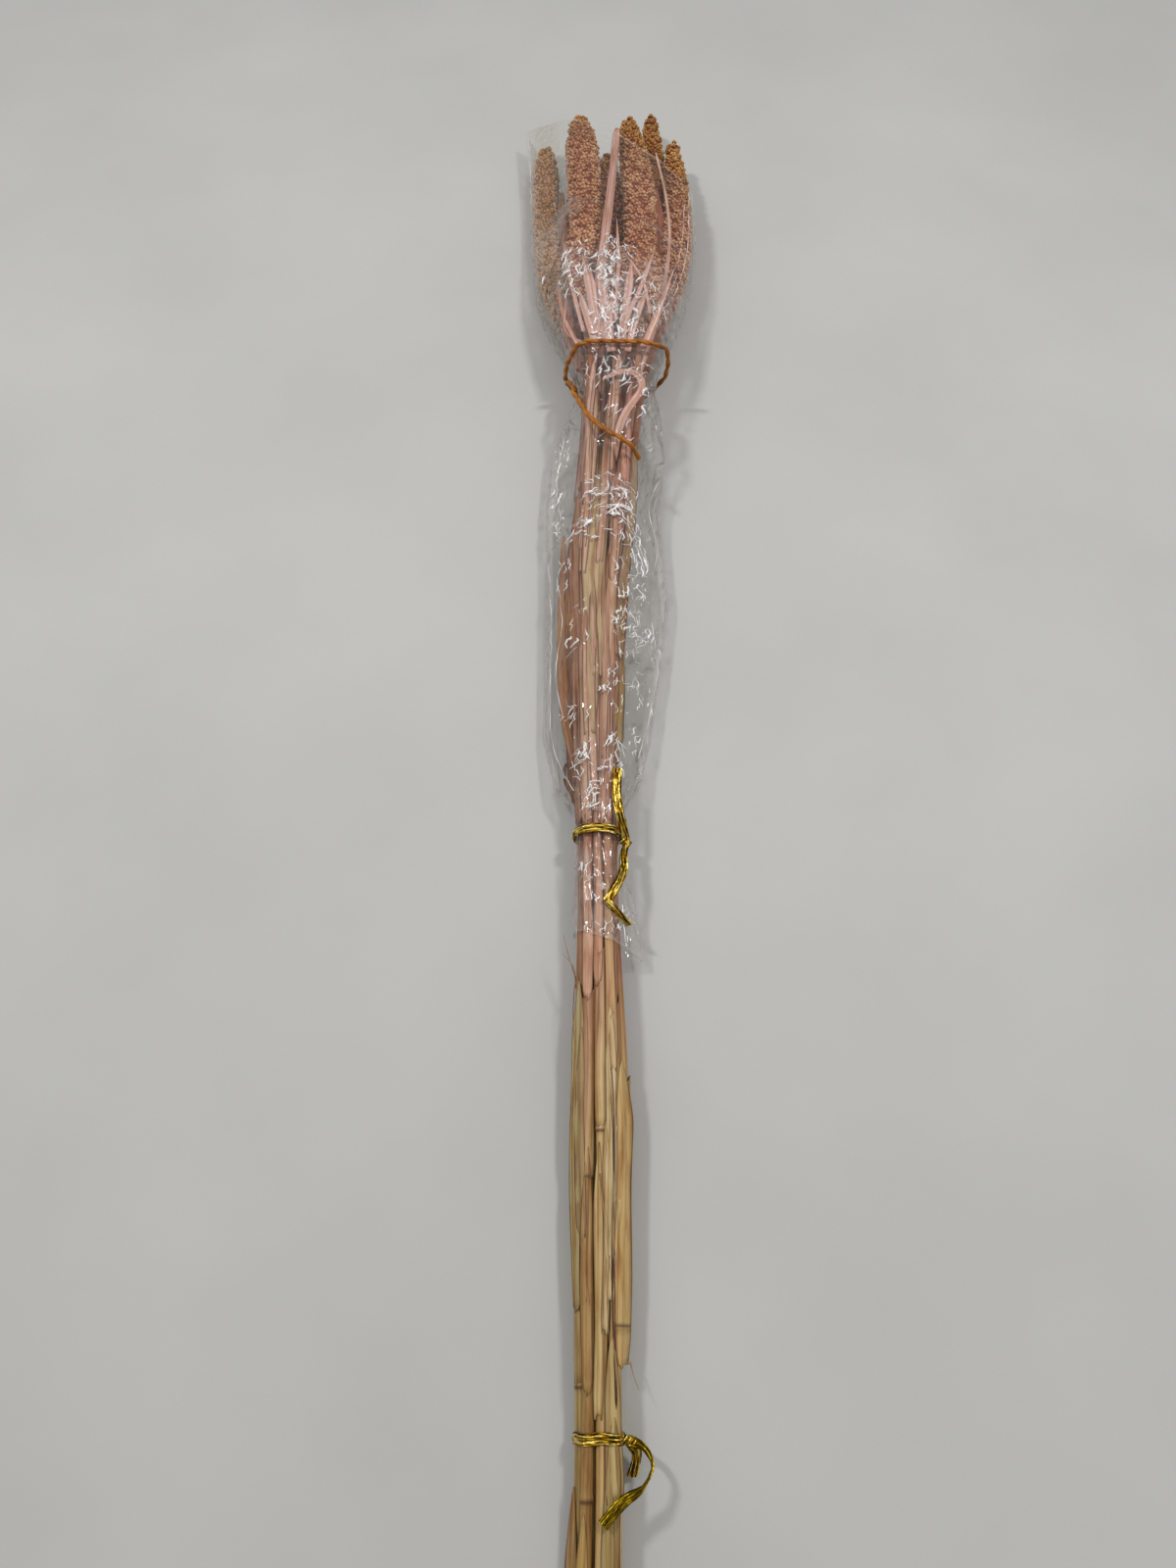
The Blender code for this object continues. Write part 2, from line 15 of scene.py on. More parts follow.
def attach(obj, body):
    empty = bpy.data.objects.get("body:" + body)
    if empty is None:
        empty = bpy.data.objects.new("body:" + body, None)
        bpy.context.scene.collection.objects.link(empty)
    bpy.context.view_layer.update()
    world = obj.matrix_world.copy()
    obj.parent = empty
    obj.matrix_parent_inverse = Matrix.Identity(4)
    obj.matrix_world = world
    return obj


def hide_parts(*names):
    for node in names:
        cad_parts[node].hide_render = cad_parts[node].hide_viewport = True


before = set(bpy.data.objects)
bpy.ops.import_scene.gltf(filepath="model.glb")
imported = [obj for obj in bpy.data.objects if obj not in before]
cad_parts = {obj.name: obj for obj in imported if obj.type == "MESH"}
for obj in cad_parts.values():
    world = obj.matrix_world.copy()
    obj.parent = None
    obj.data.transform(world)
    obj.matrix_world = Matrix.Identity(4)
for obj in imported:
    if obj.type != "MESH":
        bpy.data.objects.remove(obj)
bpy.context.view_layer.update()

MM = 0.001
chance = np.random.default_rng(20)

# The bundle's layout, as the part's source has it: at each station along the bundle, its middle and
# the pitch of its stalks across and up
STATION_Y = (-436, -307, -196, -70, 64, 198)
BUNDLE_X = (-9.0, -6.5, -6.0, -7.1, -5.9, 2.6)
BUNDLE_Z = (9.2, 8.9, 12.5, 16.0, 21.0, 26.0)
COLUMN_PITCH = (6.4, 5.05, 6.0, 4.45, 8.2, 11.0)
ROW_PITCH = (5.8, 5.5, 5.8, 4.9, 8.5, 12.5)
LOOSE_SWAY = 0.3
TIGHT_PITCH = 5.05
TIE_SQUEEZE = 0.1
SQUEEZE_REACH = 55.0
SWAY_WAVE = 43.0
HEAD_MIDDLE_Y = 324
HEAD_FAN_Y = 262
HEAD_FAN_SHARE = 0.7
NODE_SWELLING = 0.35
NODE_HALF_LENGTH = 4.0
HEAD_FOOT_RADIUS = 3.4
HEAD_SHOULDER = 66.0
HEAD_TIP_SHARE = 0.5

# Each head's base, its middle as (x, z), its tip as (x, y, z), its full radius and the length over
# which it slims to its tip. A short head on top has no middle of its own.
Head = namedtuple("Head", "base middle tip radius taper")
# A sheath is its lowest and highest place, and what it adds to the radius
Stalk = namedtuple("Stalk", "column row radius cut nodes sheaths head")
STALKS = {
    1: Stalk(-1.5, 0, 2.15, -433, (-404, -290, -245, -150, 4, 128), ((-285, -160, 0.3), (10, 120, 0.4)),
             Head(238, (-35.8, 10.4), (-38, 411, 12), 8.5, 32)),
    2: Stalk(-0.5, 0, 2.2, -436, (-384, -262, -174, -30, 92), ((-250, -140, 0.25), (100, 180, 0.5)),
             Head(232, (-12.4, 30.0), (-16.6, 416, 28), 10.6, 36)),
    3: Stalk(0, -1, 2.2, -430, (-396, -270, -160, -20, 110), ((-264, -140, 0.25), (116, 180, 0.5)),
             Head(236, (2.2, 10.6), (1, 404, 12), 8.9, 48)),
    4: Stalk(0.5, 0, 2.2, -434, (-372, -240, -152, -8, 118), ((-234, -160, 0.25), (0, 104, 0.4)),
             Head(230, (19.2, 29.3), (13.4, 414, 29), 10.3, 54)),
    5: Stalk(1, -1, 2.15, -427, (-388, -258, -166, -16, 104), ((-252, -150, 0.25), (-8, 96, 0.4)),
             Head(238, (26.8, 10.5), (29, 436, 16), 8.8, 60)),
    6: Stalk(1.5, 0, 2.25, -283, (-270, -186, -34, 84), ((-262, -176, 0.6), (-20, 76, 0.4)),
             Head(234, (42.0, 22.4), (41, 401, 22.5), 9.1, 82)),
    7: Stalk(0, 1, 2.15, -432, (-388, -199, -108, 20, 140), ((-190, -120, 0.25), (28, 130, 0.5)),
             Head(216, None, (3.6, 286, 43.4), 7.4, 29)),
    8: Stalk(-1, 1, 2.2, -436, (-326, -217, -116, 27), ((-208, -140, 0.35), (40, 170, 0.5)),
             Head(220, None, (-20.5, 292, 45), 7.1, 30)),
    9: Stalk(1, 1, 2.2, -425, (-374, -236, -118, 8, 132), ((-425, -362, 0.4), (-228, -143, 0.35), (14, 124, 0.5)),
             Head(216, None, (26, 277, 44.6), 6.9, 26)),
    10: Stalk(-1, -1, 2.2, -429, (-362, -232, -126, 0, 116), ((-226, -144, 0.25), (6, 108, 0.4)),
              Head(240, (-16.8, 10.4), (-16.4, 380, 11), 8.5, 50)),
}
# Leaf blades by stalk: each a route of (x, y, z) and half its width at root, belly and tip
Blade = namedtuple("Blade", "stalk route half_widths")
BLADES = (
    Blade(8, ((-8.6, 192, 37.5), (-7.2, 212, 43.5), (-5.4, 244, 48.6), (-1.8, 282, 49.3), (2.0, 330, 44.5),
              (6.2, 388, 40.5)), (1.6, 2.75, 2.2)),
    Blade(9, ((13.0, 178, 36.0), (18.8, 198, 39.6), (27.0, 228, 41.0), (31.8, 260, 39.0), (35.4, 298, 37.0),
              (34.4, 331, 36.0), (29.4, 372, 36.0)), (1.0, 1.1, 0.7)),
    Blade(7, ((1.8, 134, 32.5), (4.2, 147, 39.5), (7.6, 156.5, 42.6), (11.8, 164, 43.4), (15.8, 171, 43.6),
              (16.6, 178.5, 43.6), (13.2, 184, 43.6), (5.5, 185, 43.6), (-3.2, 180.5, 43.0)), (1.8, 2.2, 1.8)),
    Blade(1, ((-17.2, -34, 16.4), (-21.4, -14, 14.8), (-23.6, 16, 15.0), (-24.4, 56, 17.0), (-23.6, 96, 20.0)),
          (1.6, 2.6, 1.2)),
)

# The film's slant at its rows, and the edges of its flattened sides along the bundle
FILM_THICKNESS = 0.6
FILM_CLEARANCE = 0.55
FILM_SIDES = 26
FILM_SLANT = ((-121.6, -60, -30, 384), (-0.34, -0.1, -0.34, -0.73))
FILM_REACH = 16.0
FILM_GRID = 4.0
FILM_SPAN = 7.0
FLAT_SPOT = (236.0, 352.0)
FILM_EDGE_Y = (-140, -98, -84, -60, -46, -15, 60, 120, 150, 176, 186, 212, 237, 273, 323, 430)
LEFT_EDGE_X = (-15.5, -15.5, -12, -12, -24, -30.5, -30, -31.5, -29.5, -20, -12, -12, -24, -37.5, -42.5, -49.5)
LEFT_EDGE_Z = (9, 12, 16, 16, 12, 7, 7, 8, 10, 18, 26, 26, 14, 10, 10, 14)
RIGHT_EDGE_X = (12, 6, -1, -1, 9, 16.5, 27, 24, 27, 24, 16, 16, 33, 42.5, 48.5, 50)
RIGHT_EDGE_Z = (7, 11, 16, 16, 12, 8, 8, 9, 12, 20, 26, 26, 18, 14, 15, 16)
EDGE_RADIUS = 1.5

# The rubber band winds round by these angles in degrees, at these places along the bundle
BAND_RADIUS = 1.25
BAND_BEAD = 0.15
JOINT_GAP = 0.3
BAND_GAP = 0.45
BLADE_THICKNESS = 0.6
BAND_CENTRE = (3.1, 26.0)
BAND_ANGLES = (46, 88, 132, 160, 178, 225, 270, 360, 450, 540, 600)
BAND_PLACES = (130, 138.5, 156.5, 180, 194, 198, 199.5, 201.5, 201.5, 203, 205)
TIE_WIDTH = 4.0
TIE_THICKNESS = 0.6
TAIL_LIFT = 1.4
UPPER_TIE_Y = -70
LOWER_TIE_Y = -307
UPPER_TIE_CENTRE = (BUNDLE_X[3], BUNDLE_Z[3])
LOWER_TIE_CENTRE = (BUNDLE_X[1], BUNDLE_Z[1])
UPPER_KNOT = (5.6, -73.0, 17.5)
UPPER_TAIL_UP = ((5.8, -72.4), (3.8, -66.5), (1.7, -57.0), (2.0, -41.5))
UPPER_TAIL_DOWN = ((5.8, -73.4), (4.4, -80.0), (4.2, -88.0), (0.6, -98.0), (-3.2, -104.6), (1.0, -109.0),
                   (6.4, -113.6))
LOWER_KNOT = (3.4, -307.0, 13.5)
LOWER_TAIL = ((2.8, -307.6, 14.0), (8.6, -309.6, 14.6), (11.6, -314.6, 16.4), (8.6, -321.0, 18.4),
              (0.9, -326.0, 20.0), (-6.2, -333.0, 20.6))
LOWER_SHORT_TAIL = ((3.4, -307.6, 12.6), (6.2, -311.0, 10.6), (5.8, -315.4, 7.6), (4.6, -319.4, 4.8))


def smooth_curve(places, values, place):
    """The value at a place on a smooth curve through the given ones."""
    places = np.asarray(places, float)
    values = np.asarray(values, float)
    slopes = np.gradient(values, places, axis=0)
    slopes[0] = (values[1] - values[0]) / (places[1] - places[0])
    slopes[-1] = (values[-1] - values[-2]) / (places[-1] - places[-2])
    place = np.clip(place, places[0], places[-1])
    left = np.clip(np.searchsorted(places, place) - 1, 0, len(places) - 2)
    span = places[left + 1] - places[left]
    t = (place - places[left]) / span
    if values.ndim > 1:
        t = np.asarray(t)[..., None]
        span = np.asarray(span)[..., None]
    rise = 3 * t**2 - 2 * t**3
    leave = t**3 - 2 * t**2 + t
    arrive = t**3 - t**2
    bend = leave * slopes[left] + arrive * slopes[left + 1]
    return values[left] * (1 - rise) + values[left + 1] * rise + span * bend


def run_along(points):
    """How far along a route each of its points lies."""
    return np.concatenate([[0], np.cumsum(np.linalg.norm(np.diff(points, axis=0), axis=1))])


def unit(ways):
    """Directions at length 1."""
    return ways / np.linalg.norm(ways, axis=-1, keepdims=True)


def ramp(values, start, end):
    """How far values have come from a start to an end, as a share from 0 to 1."""
    return np.clip((values - start) / (end - start), 0, 1)


def place_in_bundle(stalk, number, y):
    """A stalk's (x, z) by its column and row, with a little sway where the bundle is loose."""
    pitch = np.interp(y, STATION_Y, COLUMN_PITCH)
    sway = LOOSE_SWAY * max(0.0, pitch - TIGHT_PITCH) * math.sin(y / SWAY_WAVE + 2.4 * number)
    x = np.interp(y, STATION_Y, BUNDLE_X) + stalk.column * pitch + sway
    z = np.interp(y, STATION_Y, BUNDLE_Z) + stalk.row * np.interp(y, STATION_Y, ROW_PITCH)
    return x, z


def stalk_line(number):
    """A stalk's middle line from its cut end to its head's tip, as places along Y and points (x, z)."""
    stalk = STALKS[number]
    places = [y for y in STATION_Y if y > stalk.cut + 20]
    places.insert(0, stalk.cut)
    points = [place_in_bundle(stalk, number, y) for y in places]
    if stalk.head.middle:
        neck = np.array(points[-1])
        places += [HEAD_FAN_Y, HEAD_MIDDLE_Y]
        points += [neck + HEAD_FAN_SHARE * (np.array(stalk.head.middle) - neck), stalk.head.middle]
    tip_x, tip_y, tip_z = stalk.head.tip
    return places + [tip_y], points + [(tip_x, tip_z)]


LINES = {number: stalk_line(number) for number in STALKS}


def middle(number, y):
    """The (x, z) of a stalk's middle line at a place along the bundle."""
    return smooth_curve(*LINES[number], y)


def squeeze(y):
    """How far the upper tie presses a culm together."""
    return 1 - TIE_SQUEEZE * max(0.0, 1 - abs(y - UPPER_TIE_Y) / SQUEEZE_REACH)


def stem_radius(number, y):
    """The solid stalk's radius at a place, with its nodes and sheaths."""
    stalk = STALKS[number]
    sheath = max([extra for low, top, extra in stalk.sheaths if low <= y <= top], default=0.0)
    swelling = sum(NODE_SWELLING * max(0.0, 1 - abs(y - node) / NODE_HALF_LENGTH) for node in stalk.nodes)
    return stalk.radius * squeeze(y) + sheath + swelling


def head_radius(number, y):
    """Foot, shoulder and body of a head, drawn in towards a blunt round tip."""
    head = STALKS[number].head
    tip_y = head.tip[1]
    length = tip_y - head.base
    rise = min(1.0, (y - head.base) / min(HEAD_SHOULDER, 0.5 * length))
    body = HEAD_FOOT_RADIUS + (head.radius - HEAD_FOOT_RADIUS) * math.sin(rise * math.pi / 2) ** 1.3
    to_tip = (tip_y - y) / head.taper
    slim = 1.0 if to_tip >= 1 else HEAD_TIP_SHARE + (1 - HEAD_TIP_SHARE) * math.sin(to_tip * math.pi / 2)
    round_end = head.radius * HEAD_TIP_SHARE
    end = 1.0 if tip_y - y > round_end else math.sqrt(max(0.0, 1 - ((round_end - tip_y + y) / round_end) ** 2))
    return body * slim * end


def blade_route(blade, step):
    """Evenly spaced points along a blade's smooth route, with half its width at each."""
    route = np.array(blade.route, float)
    run = run_along(route)
    places = np.linspace(0, run[-1], max(8, int(run[-1] / step)))
    halves = np.interp(places / run[-1], (0, 0.35, 1), blade.half_widths)
    return smooth_curve(run, route, places), halves


def section(y, with_film=True):
    """Round outlines (x, z, radius) of all that the film holds at a place along the bundle."""
    rounds = []
    for number, stalk in STALKS.items():
        if stalk.cut <= y <= stalk.head.base:
            rounds.append((*middle(number, y), stem_radius(number, y)))
        elif stalk.head.base < y <= stalk.head.tip[1]:
            rounds.append((*middle(number, y), head_radius(number, y)))
    if not with_film:
        return rounds
    for blade in BLADES:
        points, halves = blade_route(blade, 9.0)
        near = np.abs(points[:, 1] - y) < FILM_GRID
        for (x, _, z), half in zip(points[near], halves[near]):
            rounds.append((x - half, z, BLADE_THICKNESS))
            rounds.append((x + half, z, BLADE_THICKNESS))
    return rounds


FILM_TURNS = (np.arange(FILM_SIDES) + 0.5) * 2 * math.pi / FILM_SIDES
WAYS = np.stack([np.cos(FILM_TURNS), np.sin(FILM_TURNS)], axis=1)


def reach(rounds):
    """How far round outlines reach from the Y axis, in each of the film's directions."""
    rounds = np.array(rounds)
    return (rounds[:, :2] @ WAYS.T + rounds[:, 2:]).max(axis=0)


GRID_Y = np.arange(-152.0, 434.0, FILM_GRID)
WRAP = np.array([reach(section(y)) for y in GRID_Y])


def film_reach(y):
    """The film's distance from the Y axis in each direction, clear of all that it holds nearby."""
    near = np.abs(GRID_Y - y) <= FILM_REACH
    edges = [(np.interp(y, FILM_EDGE_Y, edge_x), np.interp(y, FILM_EDGE_Y, edge_z), EDGE_RADIUS)
             for edge_x, edge_z in ((LEFT_EDGE_X, LEFT_EDGE_Z), (RIGHT_EDGE_X, RIGHT_EDGE_Z))]
    spread = np.maximum(WRAP[near].max(axis=0), reach(edges)) + FILM_CLEARANCE + FILM_THICKNESS
    down = np.argmin(WAYS[:, 1])
    if FLAT_SPOT[0] <= y <= FLAT_SPOT[1]:
        spread[down] = 0.0
    else:
        spread[down] = min(spread[down], 0.0)
    return spread


def outline_distance(spread, centre, angle):
    """Distance from a centre to the outline, in the direction of an angle."""
    way = np.array((math.cos(angle), math.sin(angle)))
    facing = WAYS @ way
    ahead = facing > 0.05
    return ((spread - WAYS @ np.array(centre))[ahead] / facing[ahead]).min()


def on_outline(spread, centre, turn, clear=0.0):
    """The (x, z) where the outline lies in a direction from a centre, or this far outside it."""
    distance = outline_distance(spread, centre, turn) + clear
    return centre[0] + distance * math.cos(turn), centre[1] + distance * math.sin(turn)


def film_around(y):
    """The film's widest reach close to a place, so that what lies round the film clears its folds."""
    return np.max([film_reach(y + near) for near in (-FILM_SPAN, 0, FILM_SPAN)], axis=0)


def film_top(x, y):
    """Height of the film's upper side at a point seen from above."""
    spread = film_around(y)
    up = WAYS[:, 1] > 0.05
    return ((spread[up] - x * WAYS[up, 0]) / WAYS[up, 1]).min()


def tail_height(x, y):
    """Height of an upper tie's tail, which lies on the film."""
    on_film = max(film_top(x - TIE_WIDTH / 2, y), film_top(x + TIE_WIDTH / 2, y))
    return max(UPPER_KNOT[2], on_film + TAIL_LIFT)


# Making pieces

def tint(code):
    """Linear colour of an sRGB hex value."""
    values = [int(code[i:i + 2], 16) / 255 for i in (1, 3, 5)]
    return np.array([v / 12.92 if v <= 0.04045 else ((v + 0.055) / 1.055) ** 2.4 for v in values] + [1.0])


def blend(one, other, share):
    """One colour turned into another by a share."""
    return one * (1 - share) + other * share


def add(tree, kind, inputs=None, stops=None, out=0, **settings):
    """Adds a shader node with its settings and returns its output. An input takes a value or an output."""
    node = tree.nodes.new("ShaderNode" + kind)
    for name, value in settings.items():
        setattr(node, name, value)
    for name, value in (inputs or {}).items():
        if isinstance(value, bpy.types.NodeSocket):
            tree.links.new(value, node.inputs[name])
        else:
            node.inputs[name].default_value = value
    if stops:
        ramp = node.color_ramp
        while len(ramp.elements) < len(stops):
            ramp.elements.new(1.0)
        for element, (place, value) in zip(ramp.elements, stops):
            element.position = place
            element.color = tint(value) if isinstance(value, str) else (value, value, value, 1)
    return node.outputs[out]


def new_material(name):
    """An empty material and its node tree."""
    material = bpy.data.materials.new(name)
    material.use_nodes = True
    material.node_tree.nodes.clear()
    return material, material.node_tree


def put_out(material, surface):
    """Makes this surface the material's look."""
    tree = material.node_tree
    tree.links.new(surface, tree.nodes.new("ShaderNodeOutputMaterial").inputs["Surface"])
    return material


def grid_piece(name, points, closed=False, marks=None, lengths=None, wall=0.0):
    """A grid primitive laid on points (rows, columns, 3), with its doubles merged where it closes.

    Marks are named numbers or colours for each corner, lengths the UV map in millimetres, and wall the
    thickness of a sheet, half on each side of the points.
    """
    points = np.asarray(points, float) * MM
    rows, columns = points.shape[:2]
    bpy.ops.object.select_all(action="DESELECT")
    bpy.ops.mesh.primitive_grid_add(x_subdivisions=columns - 1, y_subdivisions=rows - 1, size=2)
    piece = bpy.context.object
    piece.name = piece.data.name = name
    mesh = piece.data
    flat = np.empty(len(mesh.vertices) * 3)
    mesh.vertices.foreach_get("co", flat)
    flat = flat.reshape(-1, 3)
    order = np.lexsort((flat[:, 0].round(5), flat[:, 1].round(5)))
    laid = np.empty_like(flat)
    laid[order] = points.reshape(-1, 3)
    mesh.vertices.foreach_set("co", laid.ravel())
    for mark, values in (marks or {}).items():
        values = np.asarray(values, float)
        is_colour = values.ndim == 3
        attribute = mesh.attributes.new(mark, "FLOAT_COLOR" if is_colour else "FLOAT", "POINT")
        spread = np.empty((len(laid), 4 if is_colour else 1))
        spread[order] = values.reshape(len(laid), -1)
        attribute.data.foreach_set("color" if is_colour else "value", spread.ravel())
    if lengths is not None:
        along = np.empty((len(laid), 2))
        along[order] = np.asarray(lengths, float).reshape(-1, 2)
        corner = np.empty(len(mesh.loops), int)
        mesh.loops.foreach_get("vertex_index", corner)
        mesh.uv_layers.active.data.foreach_set("uv", along[corner].ravel())
    mesh.update()
    if closed:
        bpy.ops.object.mode_set(mode="EDIT")
        bpy.ops.mesh.select_all(action="SELECT")
        bpy.ops.mesh.remove_doubles(threshold=2e-6)
        bpy.ops.mesh.normals_make_consistent(inside=False)
        bpy.ops.object.mode_set(mode="OBJECT")
    if wall:
        thickness = piece.modifiers.new("wall", "SOLIDIFY")
        thickness.thickness = wall * MM
        thickness.offset = 0.0
        bpy.ops.object.modifier_apply(modifier=thickness.name)
    return piece


def choose(*pieces):
    """Selects these pieces alone, the first as the active one."""
    bpy.ops.object.select_all(action="DESELECT")
    for piece in pieces:
        piece.select_set(True)
    bpy.context.view_layer.objects.active = pieces[0]


def join(name, pieces):
    """One named piece of several."""
    choose(*pieces)
    if len(pieces) > 1:
        bpy.ops.object.join()
    whole = bpy.context.object
    whole.name = whole.data.name = name
    return whole


def hand_over(piece, material, slot, *nodes):
    """Smooth shading, material, body and the CAD nodes that the piece stands for, hidden. The slot is not used."""
    piece.data.materials.clear()
    piece.data.materials.append(material)
    piece.data.shade_smooth()
    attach(piece, "root")
    if nodes:
        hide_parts(*nodes)
    return piece


def frames_along(points):
    """Unit vectors along a route, sideways and up from it."""
    points = np.asarray(points, float)
    along = unit(np.gradient(points, axis=0))
    side = unit(np.cross(along, (0, 0, 1.0)))
    return along, side, np.cross(side, along)


def evenly(points, step):
    """A smooth route through points, cut to equal steps."""
    points = np.asarray(points, float)
    run = run_along(points)
    return smooth_curve(run, points, np.linspace(0, run[-1], max(4, int(run[-1] / step))))


def strip_lengths(across, run):
    """The UV map of a strip, in millimetres: how far each corner lies across it and along it."""
    return np.stack(np.broadcast_arrays(across, run[:, None]), axis=2)


def tube_grid(points, radii, sides):
    """Rings of points round a route, closed to a pole at each end."""
    points = np.asarray(points, float)
    along = np.gradient(points, axis=0)
    up = np.array((0, 1.0, 0))
    turns = np.linspace(0, 2 * math.pi, sides + 1)
    rings = []
    for point, way, radius in zip(points, unit(along), radii):
        up = unit(up - way * (up @ way))
        side = np.cross(way, up)
        rings.append(point + radius * (np.cos(turns)[:, None] * up + np.sin(turns)[:, None] * side))
    first, last = np.tile(points[0], (sides + 1, 1)), np.tile(points[-1], (sides + 1, 1))
    return np.array([first] + rings + [last])


# Materials. A pattern on Object coordinates repeats about every 1000 / Scale mm, and one on lengths,
# which are in millimetres, about every 1 / Scale mm.

def millet_husk():
    """Dry millet husk: matt, each grain its own tan, with painted shade, a dark red-brown, down where the clusters
    part.

    Its tone drifts over patches of about 17 mm. A husk's real grit is too fine to show, so it is drawn
    0.9 mm coarse.
    """
    material, tree = new_material("millet_husk")
    tone = add(tree, "Attribute", out="Fac", attribute_name="tone")
    depth = add(tree, "Attribute", out="Fac", attribute_name="depth")
    gold = add(tree, "Attribute", out="Fac", attribute_name="gold")
    place = add(tree, "TexCoord", out="Object")
    patches = add(tree, "TexNoise", {"Vector": place, "Scale": 60.0, "Detail": 2.0})
    shift = add(tree, "MapRange", {"Value": patches, "From Min": 0.3, "From Max": 0.7,
                                   "To Min": -0.2, "To Max": 0.2})
    varied = add(tree, "Math", {0: tone, 1: shift}, operation="ADD", use_clamp=True)
    pink = add(tree, "ValToRGB", {"Fac": varied},
               stops=((0.0, "#C08660"), (0.35, "#D69E74"), (0.7, "#E4B48A"), (1.0, "#ECC49C")))
    ochre = add(tree, "ValToRGB", {"Fac": varied},
                stops=((0.0, "#966832"), (0.4, "#B48248"), (0.75, "#C79858"), (1.0, "#D8B072")))
    skin = add(tree, "Mix", {0: gold, 6: pink, 7: ochre}, out=2, data_type="RGBA")
    # Painted shade: the depth mark turns grains low in their cluster, and the core between clusters, dark red-brown
    shade = add(tree, "ValToRGB", {"Fac": depth}, stops=((0.0, "#84482F"), (0.35, "#C29278"), (0.75, 1.0)))
    colour = add(tree, "Mix", {0: 1.0, 6: skin, 7: shade}, out=2, data_type="RGBA", blend_type="MULTIPLY")
    grit = add(tree, "TexNoise", {"Vector": place, "Scale": 1100.0, "Detail": 2.0})
    bump = add(tree, "Bump", {"Height": grit, "Strength": 0.6, "Distance": 0.0005})
    surface = add(tree, "BsdfPrincipled", {"Base Color": colour, "Roughness": 0.8, "Normal": bump})
    return put_out(material, surface)


def dry_straw(name, streak, bump_depth, roughness):
    """Dry straw and leaf: silky along its fibres.

    Its streaks are 0.3 to 0.4 mm wide and 50 mm long, its stripes 1.3 by 90 mm, its worn patches 3 by 20 mm.
    """
    material, tree = new_material(name)
    base = add(tree, "Attribute", attribute_name="tint")
    lengths = add(tree, "TexCoord", out="UV")
    fibres = add(tree, "Mapping", {"Vector": lengths, "Scale": (streak, 0.02, 1.0)})
    strands = add(tree, "TexNoise", {"Vector": fibres, "Scale": 1.0, "Detail": 3.0, "Roughness": 0.6})
    stripes = add(tree, "Mapping", {"Vector": lengths, "Scale": (0.75, 0.011, 1.0)})
    broad = add(tree, "TexNoise", {"Vector": stripes, "Scale": 1.0, "Detail": 2.0, "Roughness": 0.6})
    bands = add(tree, "Mapping", {"Vector": lengths, "Scale": (0.3, 0.05, 1.0)})
    blotches = add(tree, "TexNoise", {"Vector": bands, "Scale": 1.0, "Detail": 4.0})
    light = add(tree, "ValToRGB", {"Fac": strands}, stops=((0.3, "#DDD0BE"), (0.5, "#F4EEE6"), (0.7, 1.0)))
    striped = add(tree, "ValToRGB", {"Fac": broad}, stops=((0.32, "#C0A68A"), (0.44, "#EADFCE"), (0.56, 1.0)))
    worn = add(tree, "ValToRGB", {"Fac": blotches},
               stops=((0.3, "#D3B89A"), (0.5, "#F6F0E6"), (0.7, 1.0)))
    colour = base
    for layer in (light, striped, worn):
        colour = add(tree, "Mix", {0: 1.0, 6: colour, 7: layer}, out=2, data_type="RGBA", blend_type="MULTIPLY")
    bump = add(tree, "Bump", {"Height": strands, "Strength": 0.5, "Distance": bump_depth})
    surface = add(tree, "BsdfPrincipled", {"Base Color": colour, "Roughness": roughness, "Normal": bump})
    return put_out(material, surface)


def clear_film():
    """Thin clear polypropylene film: seen by its reflections and by a white veil on its side folds, which is mostly
    painted reflection and partly the film's own slight milkiness.

    Its dents are 3.5 to 9 mm across and its veil clouds over 4 mm.
    """
    material, tree = new_material("clear_polypropylene_film")
    place = add(tree, "TexCoord", out="Object")
    haze_and_sheen = add(tree, "Attribute", out="Fac", attribute_name="haze_and_sheen")
    long_way = add(tree, "Mapping", {"Vector": place, "Scale": (1.25, 0.5, 1.1)})
    cells = add(tree, "TexVoronoi", {"Vector": long_way, "Scale": 230.0}, feature="DISTANCE_TO_EDGE")
    bump = add(tree, "Bump", {"Height": cells, "Strength": 1.0, "Distance": 0.0006})
    fresnel = add(tree, "Fresnel", {"IOR": 1.45, "Normal": bump})
    mirror = add(tree, "Math", {0: fresnel, 1: 0.95}, operation="MULTIPLY")
    mirror = add(tree, "Math", {0: mirror, 1: 0.35}, operation="MINIMUM")
    cloud = add(tree, "TexNoise", {"Vector": place, "Scale": 260.0, "Detail": 2.0})
    uneven = add(tree, "MapRange", {"Value": cloud, "From Min": 0.35, "From Max": 0.65,
                                    "To Min": 0.45, "To Max": 1.5})
    # The veil is diffuse white: painted reflection where the film turns away or crumples, over a faint milkiness of
    # its own, tinted olive over the left head
    haze_and_sheen_share = add(tree, "Math", {0: haze_and_sheen, 1: uneven}, operation="MULTIPLY", use_clamp=True)
    clear = add(tree, "BsdfTransparent", {"Color": (0.995, 0.995, 0.99, 1)})
    olive_share = add(tree, "Attribute", out="Fac", attribute_name="olive")
    veil_colour = add(tree, "Mix", {0: olive_share, 6: tint("#ECE3E0"), 7: tint("#AEA279")}, out=2, data_type="RGBA")
    veil = add(tree, "BsdfDiffuse", {"Color": veil_colour})
    gloss = add(tree, "BsdfGlossy", {"Color": (1, 1, 1, 1), "Roughness": 0.09, "Normal": bump})
    veiled_film = add(tree, "MixShader", {0: haze_and_sheen_share, 1: clear, 2: veil})
    film = add(tree, "MixShader", {0: mirror, 1: veiled_film, 2: gloss})
    return put_out(material, film)


